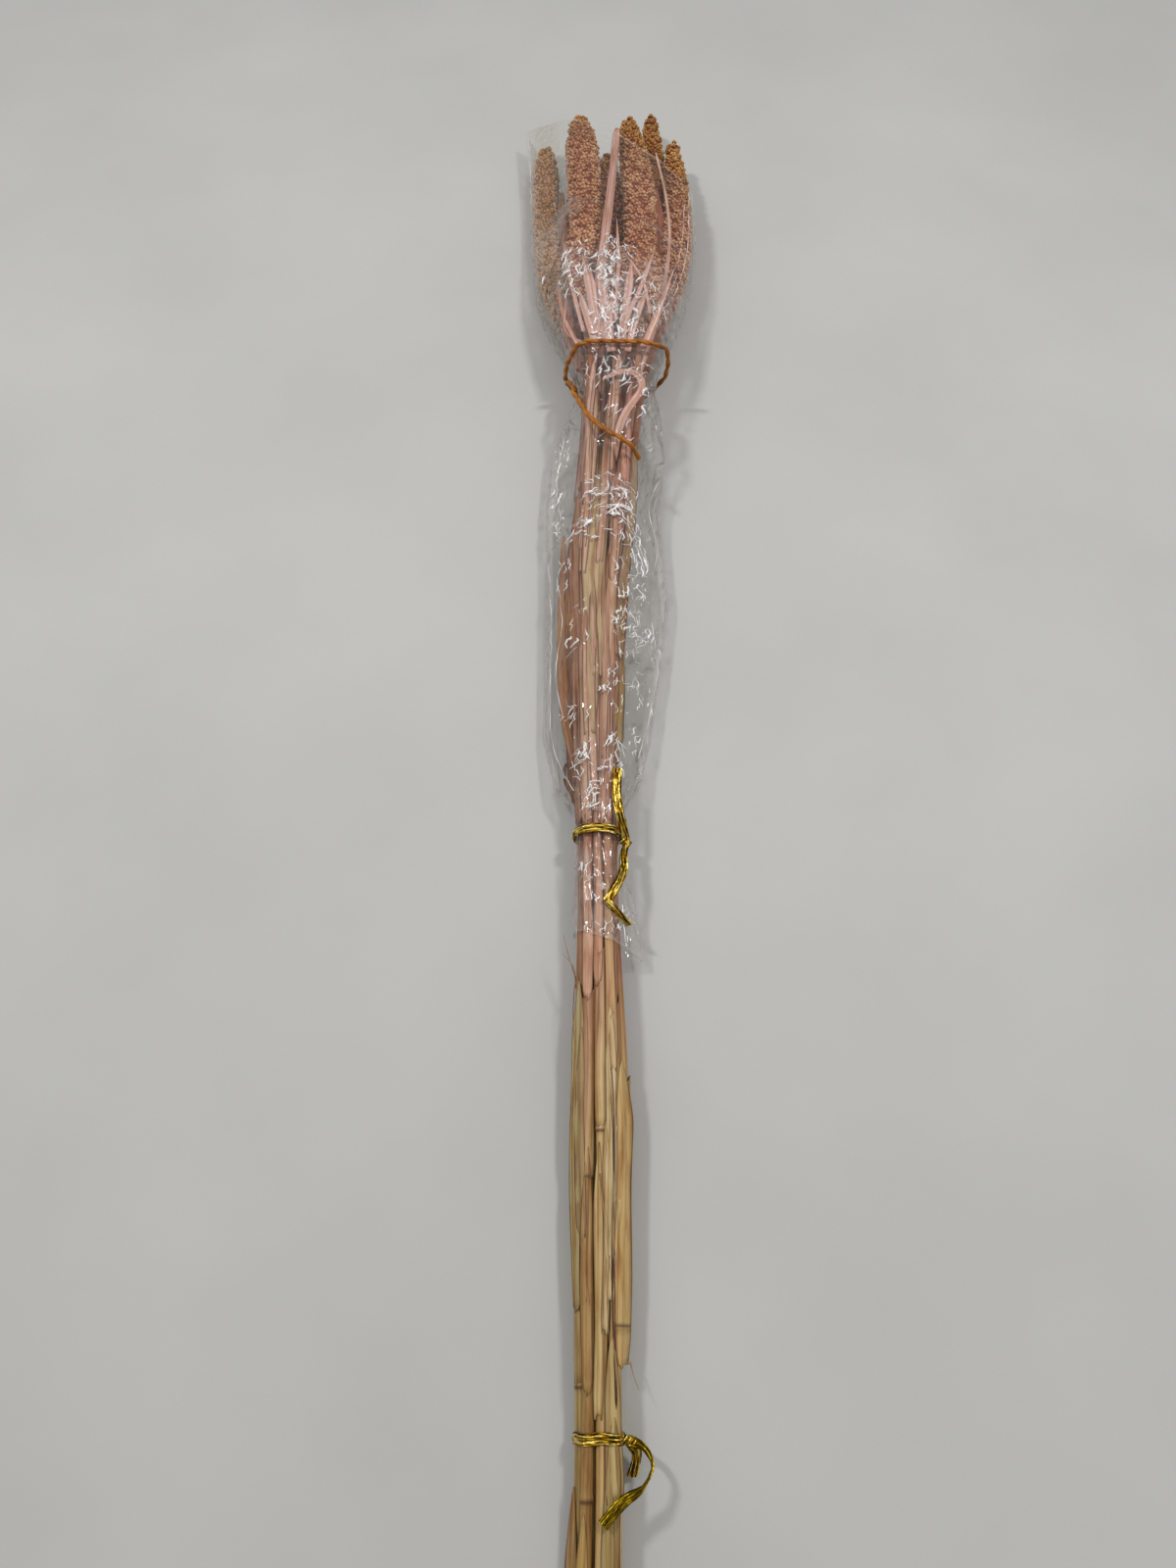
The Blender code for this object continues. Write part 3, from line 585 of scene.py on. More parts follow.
def crease_highlight_film():
    """The same film along a sharp crease, in a painted highlight: white for where the crease catches the lamps, with
    a real gloss over it, broken every 2.4 mm.
    """
    material, tree = new_material("film_crease_painted_highlight")
    place = add(tree, "TexCoord", out="Object")
    broken = add(tree, "TexNoise", {"Vector": place, "Scale": 420.0, "Detail": 1.0})
    share = add(tree, "MapRange", {"Value": broken, "From Min": 0.34, "From Max": 0.46,
                                   "To Min": 0.8, "To Max": 1.0})
    clear = add(tree, "BsdfTransparent", {"Color": (0.99, 0.99, 0.985, 1)})
    # Painted highlight: diffuse white for the lamps' glints on the creases
    white = add(tree, "BsdfDiffuse", {"Color": (1.0, 1.0, 0.99, 1)})
    gloss = add(tree, "BsdfGlossy", {"Color": (1, 1, 1, 1), "Roughness": 0.36})
    lit = add(tree, "MixShader", {0: 0.2, 1: white, 2: gloss})
    film = add(tree, "MixShader", {0: share, 1: clear, 2: lit})
    return put_out(material, film)


def amber_rubber():
    """Natural rubber: amber, a little clear, with a soft shine. It is cloudy over 8 mm and rough at 1.1 mm."""
    material, tree = new_material("amber_rubber")
    place = add(tree, "TexCoord", out="Object")
    cloud = add(tree, "TexNoise", {"Vector": place, "Scale": 120.0, "Detail": 3.0})
    colour = add(tree, "ValToRGB", {"Fac": cloud}, stops=((0.3, "#8C5200"), (0.6, "#B87000"), (0.8, "#CA8208")))
    fine = add(tree, "TexNoise", {"Vector": place, "Scale": 900.0, "Detail": 2.0})
    bump = add(tree, "Bump", {"Height": fine, "Strength": 0.25, "Distance": 0.0002})
    surface = add(tree, "BsdfPrincipled", {"Base Color": colour, "Roughness": 0.38,
                                           "Subsurface Weight": 0.2, "Subsurface Scale": 0.0015,
                                           "Normal": bump})
    return put_out(material, surface)


def gold_foil(name, wrinkle, stops):
    """Metallised foil on a paper-thin strip: deep gold, with painted reflection in its colour, dark in its creases
    and bright on their edges.

    It is dented every 2.4 mm, and its creases are 0.7 mm wide and 7 mm long.
    """
    material, tree = new_material(name)
    place = add(tree, "TexCoord", out="Object")
    lengths = add(tree, "TexCoord", out="UV")
    dents = add(tree, "TexNoise", {"Vector": place, "Scale": 420.0, "Detail": 2.0})
    grain = add(tree, "Mapping", {"Vector": lengths, "Scale": (1.5, 0.14, 1.0)})
    lines = add(tree, "TexNoise", {"Vector": grain, "Scale": 1.0, "Detail": 2.0})
    both = add(tree, "Math", {0: dents, 1: lines}, operation="ADD")
    bump = add(tree, "Bump", {"Height": both, "Strength": wrinkle, "Distance": 0.0009})
    # Painted reflection: the ramp darkens the foil where it would mirror the dark room and brightens it where it
    # would mirror the lamps
    colour = add(tree, "ValToRGB", {"Fac": lines}, stops=stops)
    surface = add(tree, "BsdfPrincipled", {"Base Color": colour, "Metallic": 1.0, "Roughness": 0.34,
                                           "Normal": bump})
    return put_out(material, surface)


def pale_board():
    """Painted board under the bundle: matt pale grey, faintly mottled over 140 mm."""
    material, tree = new_material("pale_board")
    place = add(tree, "TexCoord", out="Object")
    mottle = add(tree, "TexNoise", {"Vector": place, "Scale": 7.0, "Detail": 5.0})
    colour = add(tree, "ValToRGB", {"Fac": mottle}, stops=((0.3, "#C1C1BE"), (0.7, "#C9C9C6")))
    surface = add(tree, "BsdfPrincipled", {"Base Color": colour, "Roughness": 0.85})
    return put_out(material, surface)


# Seed heads

# Clusters of grains stand in a spiral on each head's core, and LOBE_SPACING is how far apart
LOBE_SPACING = 4.9
LOBE_WIDTH = 2.1
LOBE_HEIGHT = 2.5
FIRST_LOBE = 1.5
LAST_LOBE = 0.3
GRAINS_IN_LOBE = 9
GRAIN_RADIUS = 0.88
GRAIN_STRAY = 0.16
GOLDEN_TURN = math.pi * (3 - math.sqrt(5))
# Heads that lie under others get deeper painted shade, a darker red-brown, inside the sleeve, between these places
LOWER_HEADS = (3, 5, 10)
LOWER_HEADS_FADE = (372, 360)
CORE_DEPTH = 2.1
CORE_STEP = 3.0
CORE_SIDES = 24
CORE_END = 2.2
LEAST_CORE = 0.8
TIP_LENGTH = 30.0
TIP_DEPTH = 2.4
# The husks turn from pink to gold between these places, counted outwards from the film's mouth
GOLD_FADE = (-26.0, 14.0)

Lobes = namedtuple("Lobes", "root out around along size")


def one_grain():
    """Corners and faces of one husked grain, 1 in radius, slightly longer than wide."""
    bpy.ops.mesh.primitive_ico_sphere_add(subdivisions=1, radius=1.0)
    grain = bpy.context.object
    corners = np.array([v.co for v in grain.data.vertices])
    faces = np.array([face.vertices[:] for face in grain.data.polygons])
    bpy.data.objects.remove(grain, do_unlink=True)
    corners[:, 2] *= 1.1
    return corners, faces


def sunk_radius(number, y):
    """The radius that carries the clusters, its tip drawn back by what the clusters add to it."""
    tip_y = STALKS[number].head.tip[1]
    towards_tip = min(1.0, max(0.0, (y - tip_y + TIP_LENGTH) / (TIP_LENGTH - TIP_DEPTH)))
    return head_radius(number, min(tip_y, y + TIP_DEPTH * towards_tip))


def head_core(number):
    """The spike that carries the clusters, as a closed round body, dark with painted shade as it lies deep between
    them, but for its very tip.
    """
    head = STALKS[number].head
    tip_y = head.tip[1]
    places = np.linspace(head.base - 1, tip_y - TIP_DEPTH - CORE_END, int((tip_y - head.base) / CORE_STEP))
    turns = np.linspace(0, 2 * math.pi, CORE_SIDES + 1)
    rings = []
    for y in places:
        x, z = middle(number, y)
        radius = max(LEAST_CORE, sunk_radius(number, max(y, head.base)) - CORE_DEPTH)
        rings.append([(x + radius * math.cos(t), y, z + radius * math.sin(t)) for t in turns])
    for row, step in ((0, -0.4), (-1, 0.5)):
        pole = np.mean(rings[row][:-1], axis=0) + (0, step, 0)
        rings.insert(0 if row == 0 else len(rings), [tuple(pole)] * len(turns))
    rings = np.array(rings)
    gold = gold_share(rings[..., 0], rings[..., 1])
    # Painted shade on the core, which lies deep between the clusters, lighter near the tip
    depth = 0.12 + 0.4 * ramp(rings[..., 1], tip_y - 9, tip_y - 4)
    marks = {"tone": np.full(gold.shape, 0.3), "depth": depth, "gold": gold}
    return grid_piece("core", rings, closed=True, marks=marks)


def gold_share(x, y):
    """How golden the husks are: dyed pink lower down, and their own gold past the film's mouth."""
    mouth = FILM_SLANT[0][-1] + FILM_SLANT[1][-1] * x
    return ramp(y - mouth, *GOLD_FADE)


def place_lobes(number):
    """A head's clusters in a spiral, evenly by area: each one's root, its three ways and its size."""
    head = STALKS[number].head
    fine = np.linspace(head.base + FIRST_LOBE, head.tip[1] - TIP_DEPTH - LAST_LOBE, 400)
    radii = np.array([sunk_radius(number, y) for y in fine])
    area = np.concatenate([[0], np.cumsum(2 * math.pi * (radii[1:] + radii[:-1]) / 2 * np.diff(fine))])
    count = int(area[-1] / LOBE_SPACING**2)
    order = np.arange(count)
    y = np.interp((order + 0.5) / count * area[-1], area, fine) + chance.uniform(-0.9, 0.9, count)
    y = np.clip(y, fine[0], fine[-1])
    turn = order * GOLDEN_TURN + chance.uniform(-0.13, 0.13, count)
    radius = np.interp(y, fine, radii)
    slope = np.interp(y, fine, np.gradient(radii, fine))
    out = unit(np.stack([np.cos(turn), -np.clip(slope, -1.6, 0.6), np.sin(turn)], axis=1))
    around = np.stack([-np.sin(turn), np.zeros(count), np.cos(turn)], axis=1)
    along = np.cross(out, around)
    along *= np.sign(along[:, 1:2])
    size = np.clip(radius / 7.5, 0.6, 1.0) * chance.uniform(0.82, 1.16, count)
    sunk = np.maximum(0.3, radius - LOBE_HEIGHT * size - 0.75 + chance.uniform(-0.5, 0.5, count))
    centre = np.array([middle(number, place) for place in y])
    root = np.stack([centre[:, 0] + sunk * np.cos(turn), y, centre[:, 1] + sunk * np.sin(turn)], axis=1)
    return Lobes(root, out, around, along, size)


def place_grains(lobes):
    """Each grain's place, its three ways, its radius and its height in the cluster's dome.

    The last of each cluster's grains is the round body that carries the others.
    """
    count = len(lobes.size)
    each = np.arange(GRAINS_IN_LOBE)
    rise = 1 - (each + 0.5) / GRAINS_IN_LOBE
    flat = np.sqrt(1 - rise**2)
    stray = chance.uniform(-GRAIN_STRAY, GRAIN_STRAY, (count, GRAINS_IN_LOBE, 3))
    a = np.pad(flat * np.cos(each * GOLDEN_TURN) + stray[..., 0], ((0, 0), (0, 1)))
    b = np.pad(flat * np.sin(each * GOLDEN_TURN) + stray[..., 1], ((0, 0), (0, 1)))
    c = np.pad(rise + 0.6 * stray[..., 2], ((0, 0), (0, 1)), constant_values=0.1)
    around, along, out = (way[:, None] for way in (lobes.around, lobes.along, lobes.out))
    wide = (LOBE_WIDTH * lobes.size)[:, None]
    tall = (LOBE_HEIGHT * lobes.size)[:, None]
    spots = (lobes.root[:, None] + (a * wide)[..., None] * around + (b * wide)[..., None] * along
             + (c * tall)[..., None] * out)
    point = unit(0.75 * a[..., None] * around + (0.75 * b + 0.35)[..., None] * along + (c + 0.45)[..., None] * out)
    across = unit(np.cross(point, chance.normal(size=point.shape)))
    radii = GRAIN_RADIUS * (lobes.size[:, None] ** 0.5) * chance.uniform(0.78, 1.16, (count, GRAINS_IN_LOBE + 1))
    radii[:, -1] = LOBE_WIDTH * lobes.size
    return spots, (across, np.cross(point, across), point), radii, c


def make_head(number, grain, material):
    """A head's core and its grains, toned by cluster and by grain, and with painted shade darker down between
    clusters.
    """
    spots, ways, radii, height = place_grains(place_lobes(number))
    corners, faces = grain
    shape = sum(way[..., None, :] * corners[:, axis, None] for axis, way in enumerate(ways))
    mass = (spots[..., None, :] + radii[..., None, None] * shape).reshape(-1, 3)
    starts = np.arange(radii.size)[:, None, None] * len(corners)
    mesh = bpy.data.meshes.new("grains")
    mesh.from_pydata((mass * MM).tolist(), [], (faces[None] + starts).reshape(-1, 3).tolist())
    by_cluster = chance.normal(0.53, 0.24, (len(spots), 1))
    tone = np.clip(by_cluster * 0.72 + chance.uniform(0, 0.9, radii.shape) * 0.28, 0, 1)
    # Painted shade: darker low in each cluster, and deeper still on heads that lie under others
    depth = np.clip(0.22 + 0.75 * height, 0, 1)
    if number in LOWER_HEADS:
        depth = depth * (1 - 0.5 * ramp(spots[..., 1], *LOWER_HEADS_FADE))
    gold = np.clip(gold_share(spots[..., 0], spots[..., 1]) + chance.uniform(-0.12, 0.12, radii.shape), 0, 1)
    for mark, values in (("tone", tone), ("depth", depth), ("gold", gold)):
        attribute = mesh.attributes.new(mark, "FLOAT", "POINT")
        attribute.data.foreach_set("value", np.repeat(values.ravel(), len(corners)))
    grains = bpy.data.objects.new("grains", mesh)
    bpy.context.scene.collection.objects.link(grains)
    whole = join(f"millet_head_{number:02d}_grains", [head_core(number), grains])
    return hand_over(whole, material, "millet_head", f"millet_head_{number:02d}")


# Straw

STRAW_SIDES = 22
NODE_SWELL_WIDTH = 1.8
# How deep the groove below a node is, and the flutes along a culm
NODE_GROOVE = 0.16
FINE_FLUTE, BROAD_FLUTE = 0.035, 0.05
# The dye fades out between these places below the upper tie, and stalk 8 took it further down
PINK_FROM = -190.0
PINK_TO = -120.0
DYED_LOWER = {8: 26}
STRAW_TONES = {1: "#CDBB80", 2: "#BC9F68", 3: "#AE9262", 4: "#CBB27C", 5: "#C4A86C", 6: "#E0BF7C", 7: "#DCC48E",
               8: "#B6985C", 9: "#DCC892", 10: "#B09A62"}
DYED_TONES = {1: "#BE8C6C", 2: "#BC8A6E", 3: "#A4745A", 4: "#C6967A", 5: "#A6785C", 6: "#BA8464", 7: "#CC9C84",
              8: "#B88266", 9: "#C29276", 10: "#A27258"}
NODE_TINT = tint("#5E3A1C")
SHEATH_TINT = tint("#DFCB9C")
DYED_SHEATH_TINT = tint("#CDAA92")
PITH_TINT = tint("#8A6A42")
# The hollow cut end: rings of this share of the culm's width, this far in from the cut
CUT_END = ((0.72, 0.0), (0.4464, 0.6), (0.36, 4.0), (0.0, 4.5))
SHEATH_WALL = 0.18
SHEATH_OVERLAP = 0.7
WOBBLE = 0.12
WOBBLE_LENGTH = 17.0


def straw_tint(number, y, pale=0.0):
    """The colour of a stalk at a place: its own straw tone, and dyed pink above the upper tie."""
    late = DYED_LOWER.get(number, 0)
    share = ramp(np.asarray(y, float), PINK_FROM - late, PINK_TO - late)[..., None]
    base = blend(tint(STRAW_TONES[number]), tint(DYED_TONES[number]), share)
    return blend(base, blend(SHEATH_TINT, DYED_SHEATH_TINT, share), pale)


def stalk_places(number):
    """Where a culm has its rings: every 5 mm, and closer at its nodes."""
    stalk = STALKS[number]
    places = list(np.arange(stalk.cut, stalk.head.base + 5, 5.0))
    for node in stalk.nodes:
        places = [y for y in places if abs(y - node) > 5]
        places += [node + step for step in (-4.5, -3, -1.6, -0.9, -0.5, 0, 0.5, 0.9, 1.6, 3, 4.5)]
    return np.array(sorted(places))


def straw_wobble(number, y):
    """How far a culm and its sheaths stray sideways, so that no stalk is ruler-straight."""
    return WOBBLE * math.sin(y / WOBBLE_LENGTH + 3 * number)


def make_culm(number):
    """A stalk's culm with its nodes, fluted along its length, hollow at the cut end."""
    stalk = STALKS[number]
    turns = np.linspace(0, 2 * math.pi, STRAW_SIDES + 1)
    rings, colours, lengths = [], [], []
    for y in stalk_places(number):
        x, z = middle(number, y)
        swell = max(NODE_SWELLING * math.exp(-((y - node) / NODE_SWELL_WIDTH) ** 2) for node in stalk.nodes)
        groove = sum(NODE_GROOVE * math.exp(-((y - node + 1.3) / 0.5) ** 2) for node in stalk.nodes)
        flutes = FINE_FLUTE * np.cos(7 * turns + number) + BROAD_FLUTE * np.cos(2 * turns + y / 90 + number)
        radius = stalk.radius * squeeze(y) + swell - groove + flutes
        here = np.full(len(turns), y)
        x += straw_wobble(number, y)
        rings.append(np.stack([x + radius * np.cos(turns), here, z + radius * np.sin(turns)], axis=1))
        dark = 0.85 * max(math.exp(-((y - node + 0.5) / 0.8) ** 2) for node in stalk.nodes)
        colours.append(blend(straw_tint(number, here), NODE_TINT, dark))
        lengths.append(np.stack([turns * stalk.radius + 31 * number, here], axis=1))
    skin = rings[0]
    middle_x, middle_z = skin[:-1, 0].mean(), skin[:-1, 2].mean()
    for share, step in CUT_END:
        rings.insert(0, np.stack([middle_x + (skin[:, 0] - middle_x) * share, np.full(len(turns), stalk.cut + step),
                                  middle_z + (skin[:, 2] - middle_z) * share], axis=1))
        colours.insert(0, np.broadcast_to(PITH_TINT, (len(turns), 4)))
        lengths.insert(0, lengths[0])
    end = rings[-1].copy()
    end[:] = end[:-1].mean(axis=0) + (0, 0.5, 0)
    rings.append(end)
    colours.append(colours[-1])
    lengths.append(lengths[-1])
    return grid_piece("culm", rings, closed=True, marks={"tint": np.array(colours)}, lengths=lengths)


def make_sheath(number, low, top, extra):
    """A leaf sheath rolled round its culm with one edge over the other, its top edge drawn to a tongue."""
    stalk = STALKS[number]
    open_at = math.pi * (0.5 + 0.3 * math.sin(5.1 * number + low))
    turns = np.linspace(0, 2 * math.pi + SHEATH_OVERLAP, 26)
    share = np.concatenate([np.linspace(0, 0.9, int((top - low) / 5) + 2), np.linspace(0.93, 1, 5)])
    tongue = chance.uniform(6.0, 13.0)
    lean_to = chance.uniform(-0.8, 0.8)
    # It grows from a node, where there is one just below
    roots = [node for node in stalk.nodes if low - 18 < node < low + 4]
    bottom = roots[0] + 0.7 if roots else low + (0.6 if low > stalk.cut + 10 else 0.0)
    points, colours, lengths = [], [], []
    for along in share:
        ring, colour, length = [], [], []
        lean = 0.25 * math.sin(along * 5 + number)
        for turn in turns:
            angle = open_at + turn + lean
            upper = top - tongue * ((1 - math.cos(turn - math.pi - lean_to)) / 2) ** 0.8
            y = bottom + (upper - bottom) * along
            x, z = middle(number, y)
            x += straw_wobble(number, y)
            swell = 0.22 * turn / (2 * math.pi) + 0.3 * math.exp(-(1 - along) * (top - low) / 3)
            swell *= min(1.0, (y - bottom) / 6)
            radius = stalk.radius * squeeze(y) + extra - 0.1 + swell + 0.06 * math.sin(9 * turn + y / 40)
            ring.append((x + radius * math.cos(angle), y, z + radius * math.sin(angle)))
            edge = math.exp(-min(turn, turns[-1] - turn) / 0.22)
            dark = 0.3 * edge + 0.35 * math.exp(-(1 - along) * (top - low) / 1.5)
            colour.append(blend(straw_tint(number, y, 0.45), NODE_TINT, dark))
            length.append((turn * (stalk.radius + extra) + 17 * number, y))
        points.append(ring)
        colours.append(colour)
        lengths.append(length)
    return grid_piece("sheath", points, marks={"tint": np.array(colours)}, lengths=lengths, wall=SHEATH_WALL)


# Loose sheaths and split leaves that lie along the top of the stalks: first and last place, the
# column at each end, half the width, the colour, and the place of a node's ring where one shows
DRAPED = (
    (-64, 120, -1.62, -1.42, 2.6, "#D1A48C"), (-66, 44, -1.12, -1.0, 2.5, "#DAB49D"),
    (-60, 66, -0.52, -0.48, 2.3, "#DCB7A5"), (-22, 158, -0.66, -0.5, 3.7, "#D1BD9B"),
    (8, 176, -0.05, -0.2, 3.9, "#D5BF9D"), (-66, 84, 0.42, 0.52, 2.4, "#D1A692"),
    (-34, 148, 0.62, 0.9, 2.7, "#DCBBA6"), (-64, 36, 1.0, 1.04, 2.4, "#CD9F8A"),
    (-24, 22, 1.5, 1.62, 3.4, "#CDAC67"), (20, 150, 1.42, 1.5, 2.6, "#CDAC83"),
    (78, 196, -1.15, -1.0, 2.7, "#ECC6BE"), (92, 200, -0.62, -0.4, 2.2, "#F0D0C7"),
    (96, 204, 0.36, 0.2, 2.6, "#F0CEC5"), (88, 198, 1.0, 0.85, 2.6, "#DCA69C"),
    (120, 196, -1.5, -1.35, 2.0, "#CA927C"), (-52, 92, -2.0, -1.85, 2.9, "#B1845A"),
    (-44, 40, -2.3, -2.1, 2.0, "#A17347"), (98, 206, 0.6, 0.62, 2.6, "#DCAEA2"),
    (104, 206, -1.0, -0.75, 2.2, "#E4BEB4"), (70, 190, -0.1, 0.05, 2.2, "#DCB6A6"),
    (60, 186, 0.75, 0.55, 2.2, "#E0B6A4"), (64, 180, -0.95, -0.75, 2.0, "#E2C2AE"),
    (-264, -138, -1.74, -1.7, 2.3, "#D6CA98"), (-146, -98, -0.92, -0.86, 2.4, "#D8B09A"),
    (-116, -76, -1.0, -1.05, 2.2, "#DCB29C"), (-140, -78, -0.1, 0.05, 1.9, "#E0B49C"),
    (-176, -92, 0.75, 0.9, 2.3, "#D8B688"), (-262, -150, 0.55, 0.72, 2.2, "#E6DAB0"),
    (-240, -158, -1.4, -1.42, 2.0, "#BCA276"), (-292, -206, -1.05, -0.95, 2.4, "#BC9C62", -217),
    (-300, -204, -0.3, -0.12, 1.8, "#DAC58E"), (-326, -274, 0.9, 0.78, 3.4, "#CFBE88"),
    (-272, -196, 0.25, 0.3, 1.5, "#DECC9E"), (-283, -172, 1.5, 1.5, 3.4, "#E8CC90", -270),
    # The first strip on the next line, narrow and dark brown, is painted shade: it stands for the deep shade in the
    # gap between two stalks
    (-296, -132, 1.0, 0.5, 0.62, "#6B3B1E"), (-420, -318, 0.62, 0.5, 2.9, "#B6A46E"),
    (-436, -330, -1.3, -1.2, 2.4, "#C6A864"), (-424, -350, -0.35, -0.3, 2.0, "#C4AA72"),
    (-436, -322, -2.0, -1.8, 2.1, "#C4A468"), (-436, -300, 0.7, 0.85, 3.2, "#BCAA72"),
)
# A strip bridges gaps as if each stalk were this much thicker, and stays this far below the film's top
DRAPE_BRIDGE = 1.4
STRIP_UNDER_FILM = 1.5
LEAF_UNDER_FILM = 1.6
DRAPE_WALL = 0.16
# How a strip darkens to its rims, bare or dyed, partly its own darker edges and partly painted shade of the gaps
# between stalks: the colour, how steeply, and how much at most
BARE_RIM_AND_GAP_SHADE = (NODE_TINT, 6, 0.8)
DYED_RIM_AND_GAP_SHADE = (tint("#5A281E"), 4, 0.9)


def straw_top(x, rounds):
    """Height of the stalks' upper side, bridging the narrow gaps between them."""
    heights = [z + math.sqrt((r + DRAPE_BRIDGE) ** 2 - (x - cx) ** 2) - DRAPE_BRIDGE
               for cx, z, r in rounds if abs(x - cx) < r + DRAPE_BRIDGE]
    return max(heights, default=min(z for _, z, _ in rounds))


def draped_strip(first, last, column, last_column, half, colour, ring=None):
    """A thin leaf lying over the stalks, taking their ridges, pointed at its upper end and torn at its lower."""
    places = np.linspace(first, last, int((last - first) / 3) + 2)
    if ring:
        places = np.sort(np.concatenate([places, ring + np.array((-1.3, -0.6, 0.05, 0.6, 1.3))]))
    u = np.linspace(-1, 1, 9)
    phase = chance.uniform(0, 6)
    share = (places - first) / (last - first)
    halves = half * np.minimum(1, 0.75 + 3 * share) * np.clip((1 - share) * (last - first) / 22, 0.02, 1) ** 0.6
    halves *= 1 + 0.12 * np.sin(places / 11 + phase)
    heights = np.empty((len(places), len(u)))
    across = np.empty_like(heights)
    for row, y in enumerate(places):
        at = column + (last_column - column) * share[row] + 0.06 * math.sin(y / 19 + phase)
        x = np.interp(y, STATION_Y, BUNDLE_X) + at * np.interp(y, STATION_Y, COLUMN_PITCH)
        across[row] = x + halves[row] * u
        rounds = section(y, False)
        top = [straw_top(x, rounds) for x in across[row]]
        if y > FILM_SLANT[0][0]:
            top = [min(z, film_top(x, y) - STRIP_UNDER_FILM) for x, z in zip(across[row], top)]
        heights[row] = top
    for _ in range(4):
        wide = np.pad(heights, 1, mode="edge")
        heights = (2 * heights + wide[:-2, 1:-1] + wide[2:, 1:-1] + wide[1:-1, :-2] + wide[1:-1, 2:]) / 6
    heights += 0.35 + 0.12 * np.sin(5 * u + places[:, None] / 13 + phase)
    torn = (1.1 * np.sin(3.1 * u + 2 * phase) + 0.7 * np.sin(9 * u + phase)) * np.exp((first - places) / 2.5)[:, None]
    laid = np.stack([across, places[:, None] + torn, heights], axis=2)
    # The rims darken, partly the strip's own edge and partly painted shade of the gaps; a node's ring is the straw's
    # own
    dark, steep, most = BARE_RIM_AND_GAP_SHADE if last < UPPER_TIE_Y else DYED_RIM_AND_GAP_SHADE
    rim = (np.abs(u) ** steep)[None, :, None] * most
    if ring:
        rim = np.maximum(rim, 0.85 * np.exp(-((places - ring) / 0.75) ** 2)[:, None, None])
    colours = np.broadcast_to(blend(tint(colour), dark, rim), (*across.shape, 4))
    lengths = strip_lengths(halves[:, None] * u + 9 * phase, places)
    return grid_piece("strip", laid, marks={"tint": colours}, lengths=lengths, wall=DRAPE_WALL)


# Small pink leaves that fan out of the neck under the film, as (x, y), with half the width
NECK_LEAVES = (
    (((26.2, 274), (16.8, 240), (9.0, 216), (7.0, 200)), 1.2), (((7.6, 270), (18.6, 245), (22.0, 222)), 0.8),
    (((-10.3, 256), (-8.4, 232), (-6.0, 204)), 2.3), (((-22.6, 244), (-23.5, 221), (-12.4, 204)), 0.8),
    (((-16.7, 240), (-11.4, 218), (-7.0, 200)), 1.9), (((1.9, 240), (-0.6, 214), (1.0, 198)), 2.5),
    (((20.5, 240), (13.0, 214), (9.5, 198)), 1.8), (((-29.0, 262), (-25.0, 232), (-17.0, 206)), 1.0),
    (((30.5, 244), (24.0, 218), (17.0, 200)), 1.7), (((-4.5, 268), (-3.4, 238), (-1.6, 204)), 2.6),
    (((12.6, 262), (10.2, 236), (5.6, 204)), 2.2), (((-14.4, 266), (-10.6, 236), (-5.8, 203)), 1.8),
    (((35.4, 262), (29.0, 234), (20.4, 205)), 1.1), (((4.8, 296), (5.2, 262), (3.4, 218)), 1.0),
    (((-25.4, 282), (-21.4, 250), (-13.8, 212)), 1.1),
)
# Thin fibres and hairs split off the straw, as routes of (x, y, z)
FIBRES = (
    ((-6.8, -216, 20.5), (-4.6, -236, 20.8), (-2.5, -256, 21.5)),
    ((-3.2, -246, 21), (-4.2, -262, 21), (-3.6, -276, 20)),
    ((-0.6, -226, 21.5), (-1.6, -240, 22.5), (-0.4, -252, 23.0)),
    ((4.4, -282, 11.5), (5.6, -287, 12.4), (7.4, -291.5, 13.5)),
    ((-16.4, -138, 20), (-19.5, -128, 21), (-22.0, -118, 21.5)),
    ((-16.4, -141, 19), (-18.0, -131, 19), (-22.6, -126, 20)),
    ((-16.6, -136, 19), (-17.6, -150, 18.5), (-16.6, -170, 18)),
    ((-12.0, -262, 20.5), (-13.0, -248, 20.6), (-12.8, -236, 20.4)),
)
# Dried leaves caught down between the heads and by the upper tie: route, half the width and colour
DEEP_LEAVES = (
    (((29.0, 232, 27), (30.8, 268, 25), (31.4, 310, 24), (29.6, 356, 23.4)), 4.4, "#DC947E"),
    (((-22.0, 226, 22), (-25.4, 262, 16), (-26.6, 310, 14.5), (-27.4, 366, 13.0)), 4.4, "#BC8A6E"),
    (((8.0, 236, 26), (7.4, 268, 20), (6.2, 310, 17.5)), 2.6, "#9C6450"),
    (((-15.0, 202, 27), (-20.0, 232, 25), (-25.0, 268, 20)), 4.6, "#C48C78"),
    (((-4.0, 202, 31), (-7.0, 232, 31), (-9.0, 264, 28)), 4.6, "#CC9884"),
    (((5.0, 202, 31), (9.0, 232, 31), (12.0, 264, 28)), 4.6, "#C48E7A"),
    (((14.0, 202, 28), (21.0, 232, 26), (27.0, 268, 22)), 4.6, "#C08674"),
    (((-22.6, -38.0, 10.6), (-21.2, -41.6, 11.2), (-20.4, -45.0, 11.4)), 1.0, "#8C5C34"),
    (((-20.0, -44.0, 12.4), (-18.6, -47.6, 12.8), (-18.2, -52.0, 13.2)), 1.2, "#9A6A3E"),
    (((-21.6, -30.0, 10.4), (-22.4, -34.0, 10.6), (-21.8, -37.0, 10.6)), 0.8, "#7E4E2C"),
)


def make_loose_sheaths(material):
    """Worn sheaths and split leaves that lie along the top of the stalks, and one narrow dark strip of painted shade
    in a gap between them.
    """
    strips = [draped_strip(*strip) for strip in DRAPED]
    hand_over(join("loose_sheaths", strips), material, "stalk")


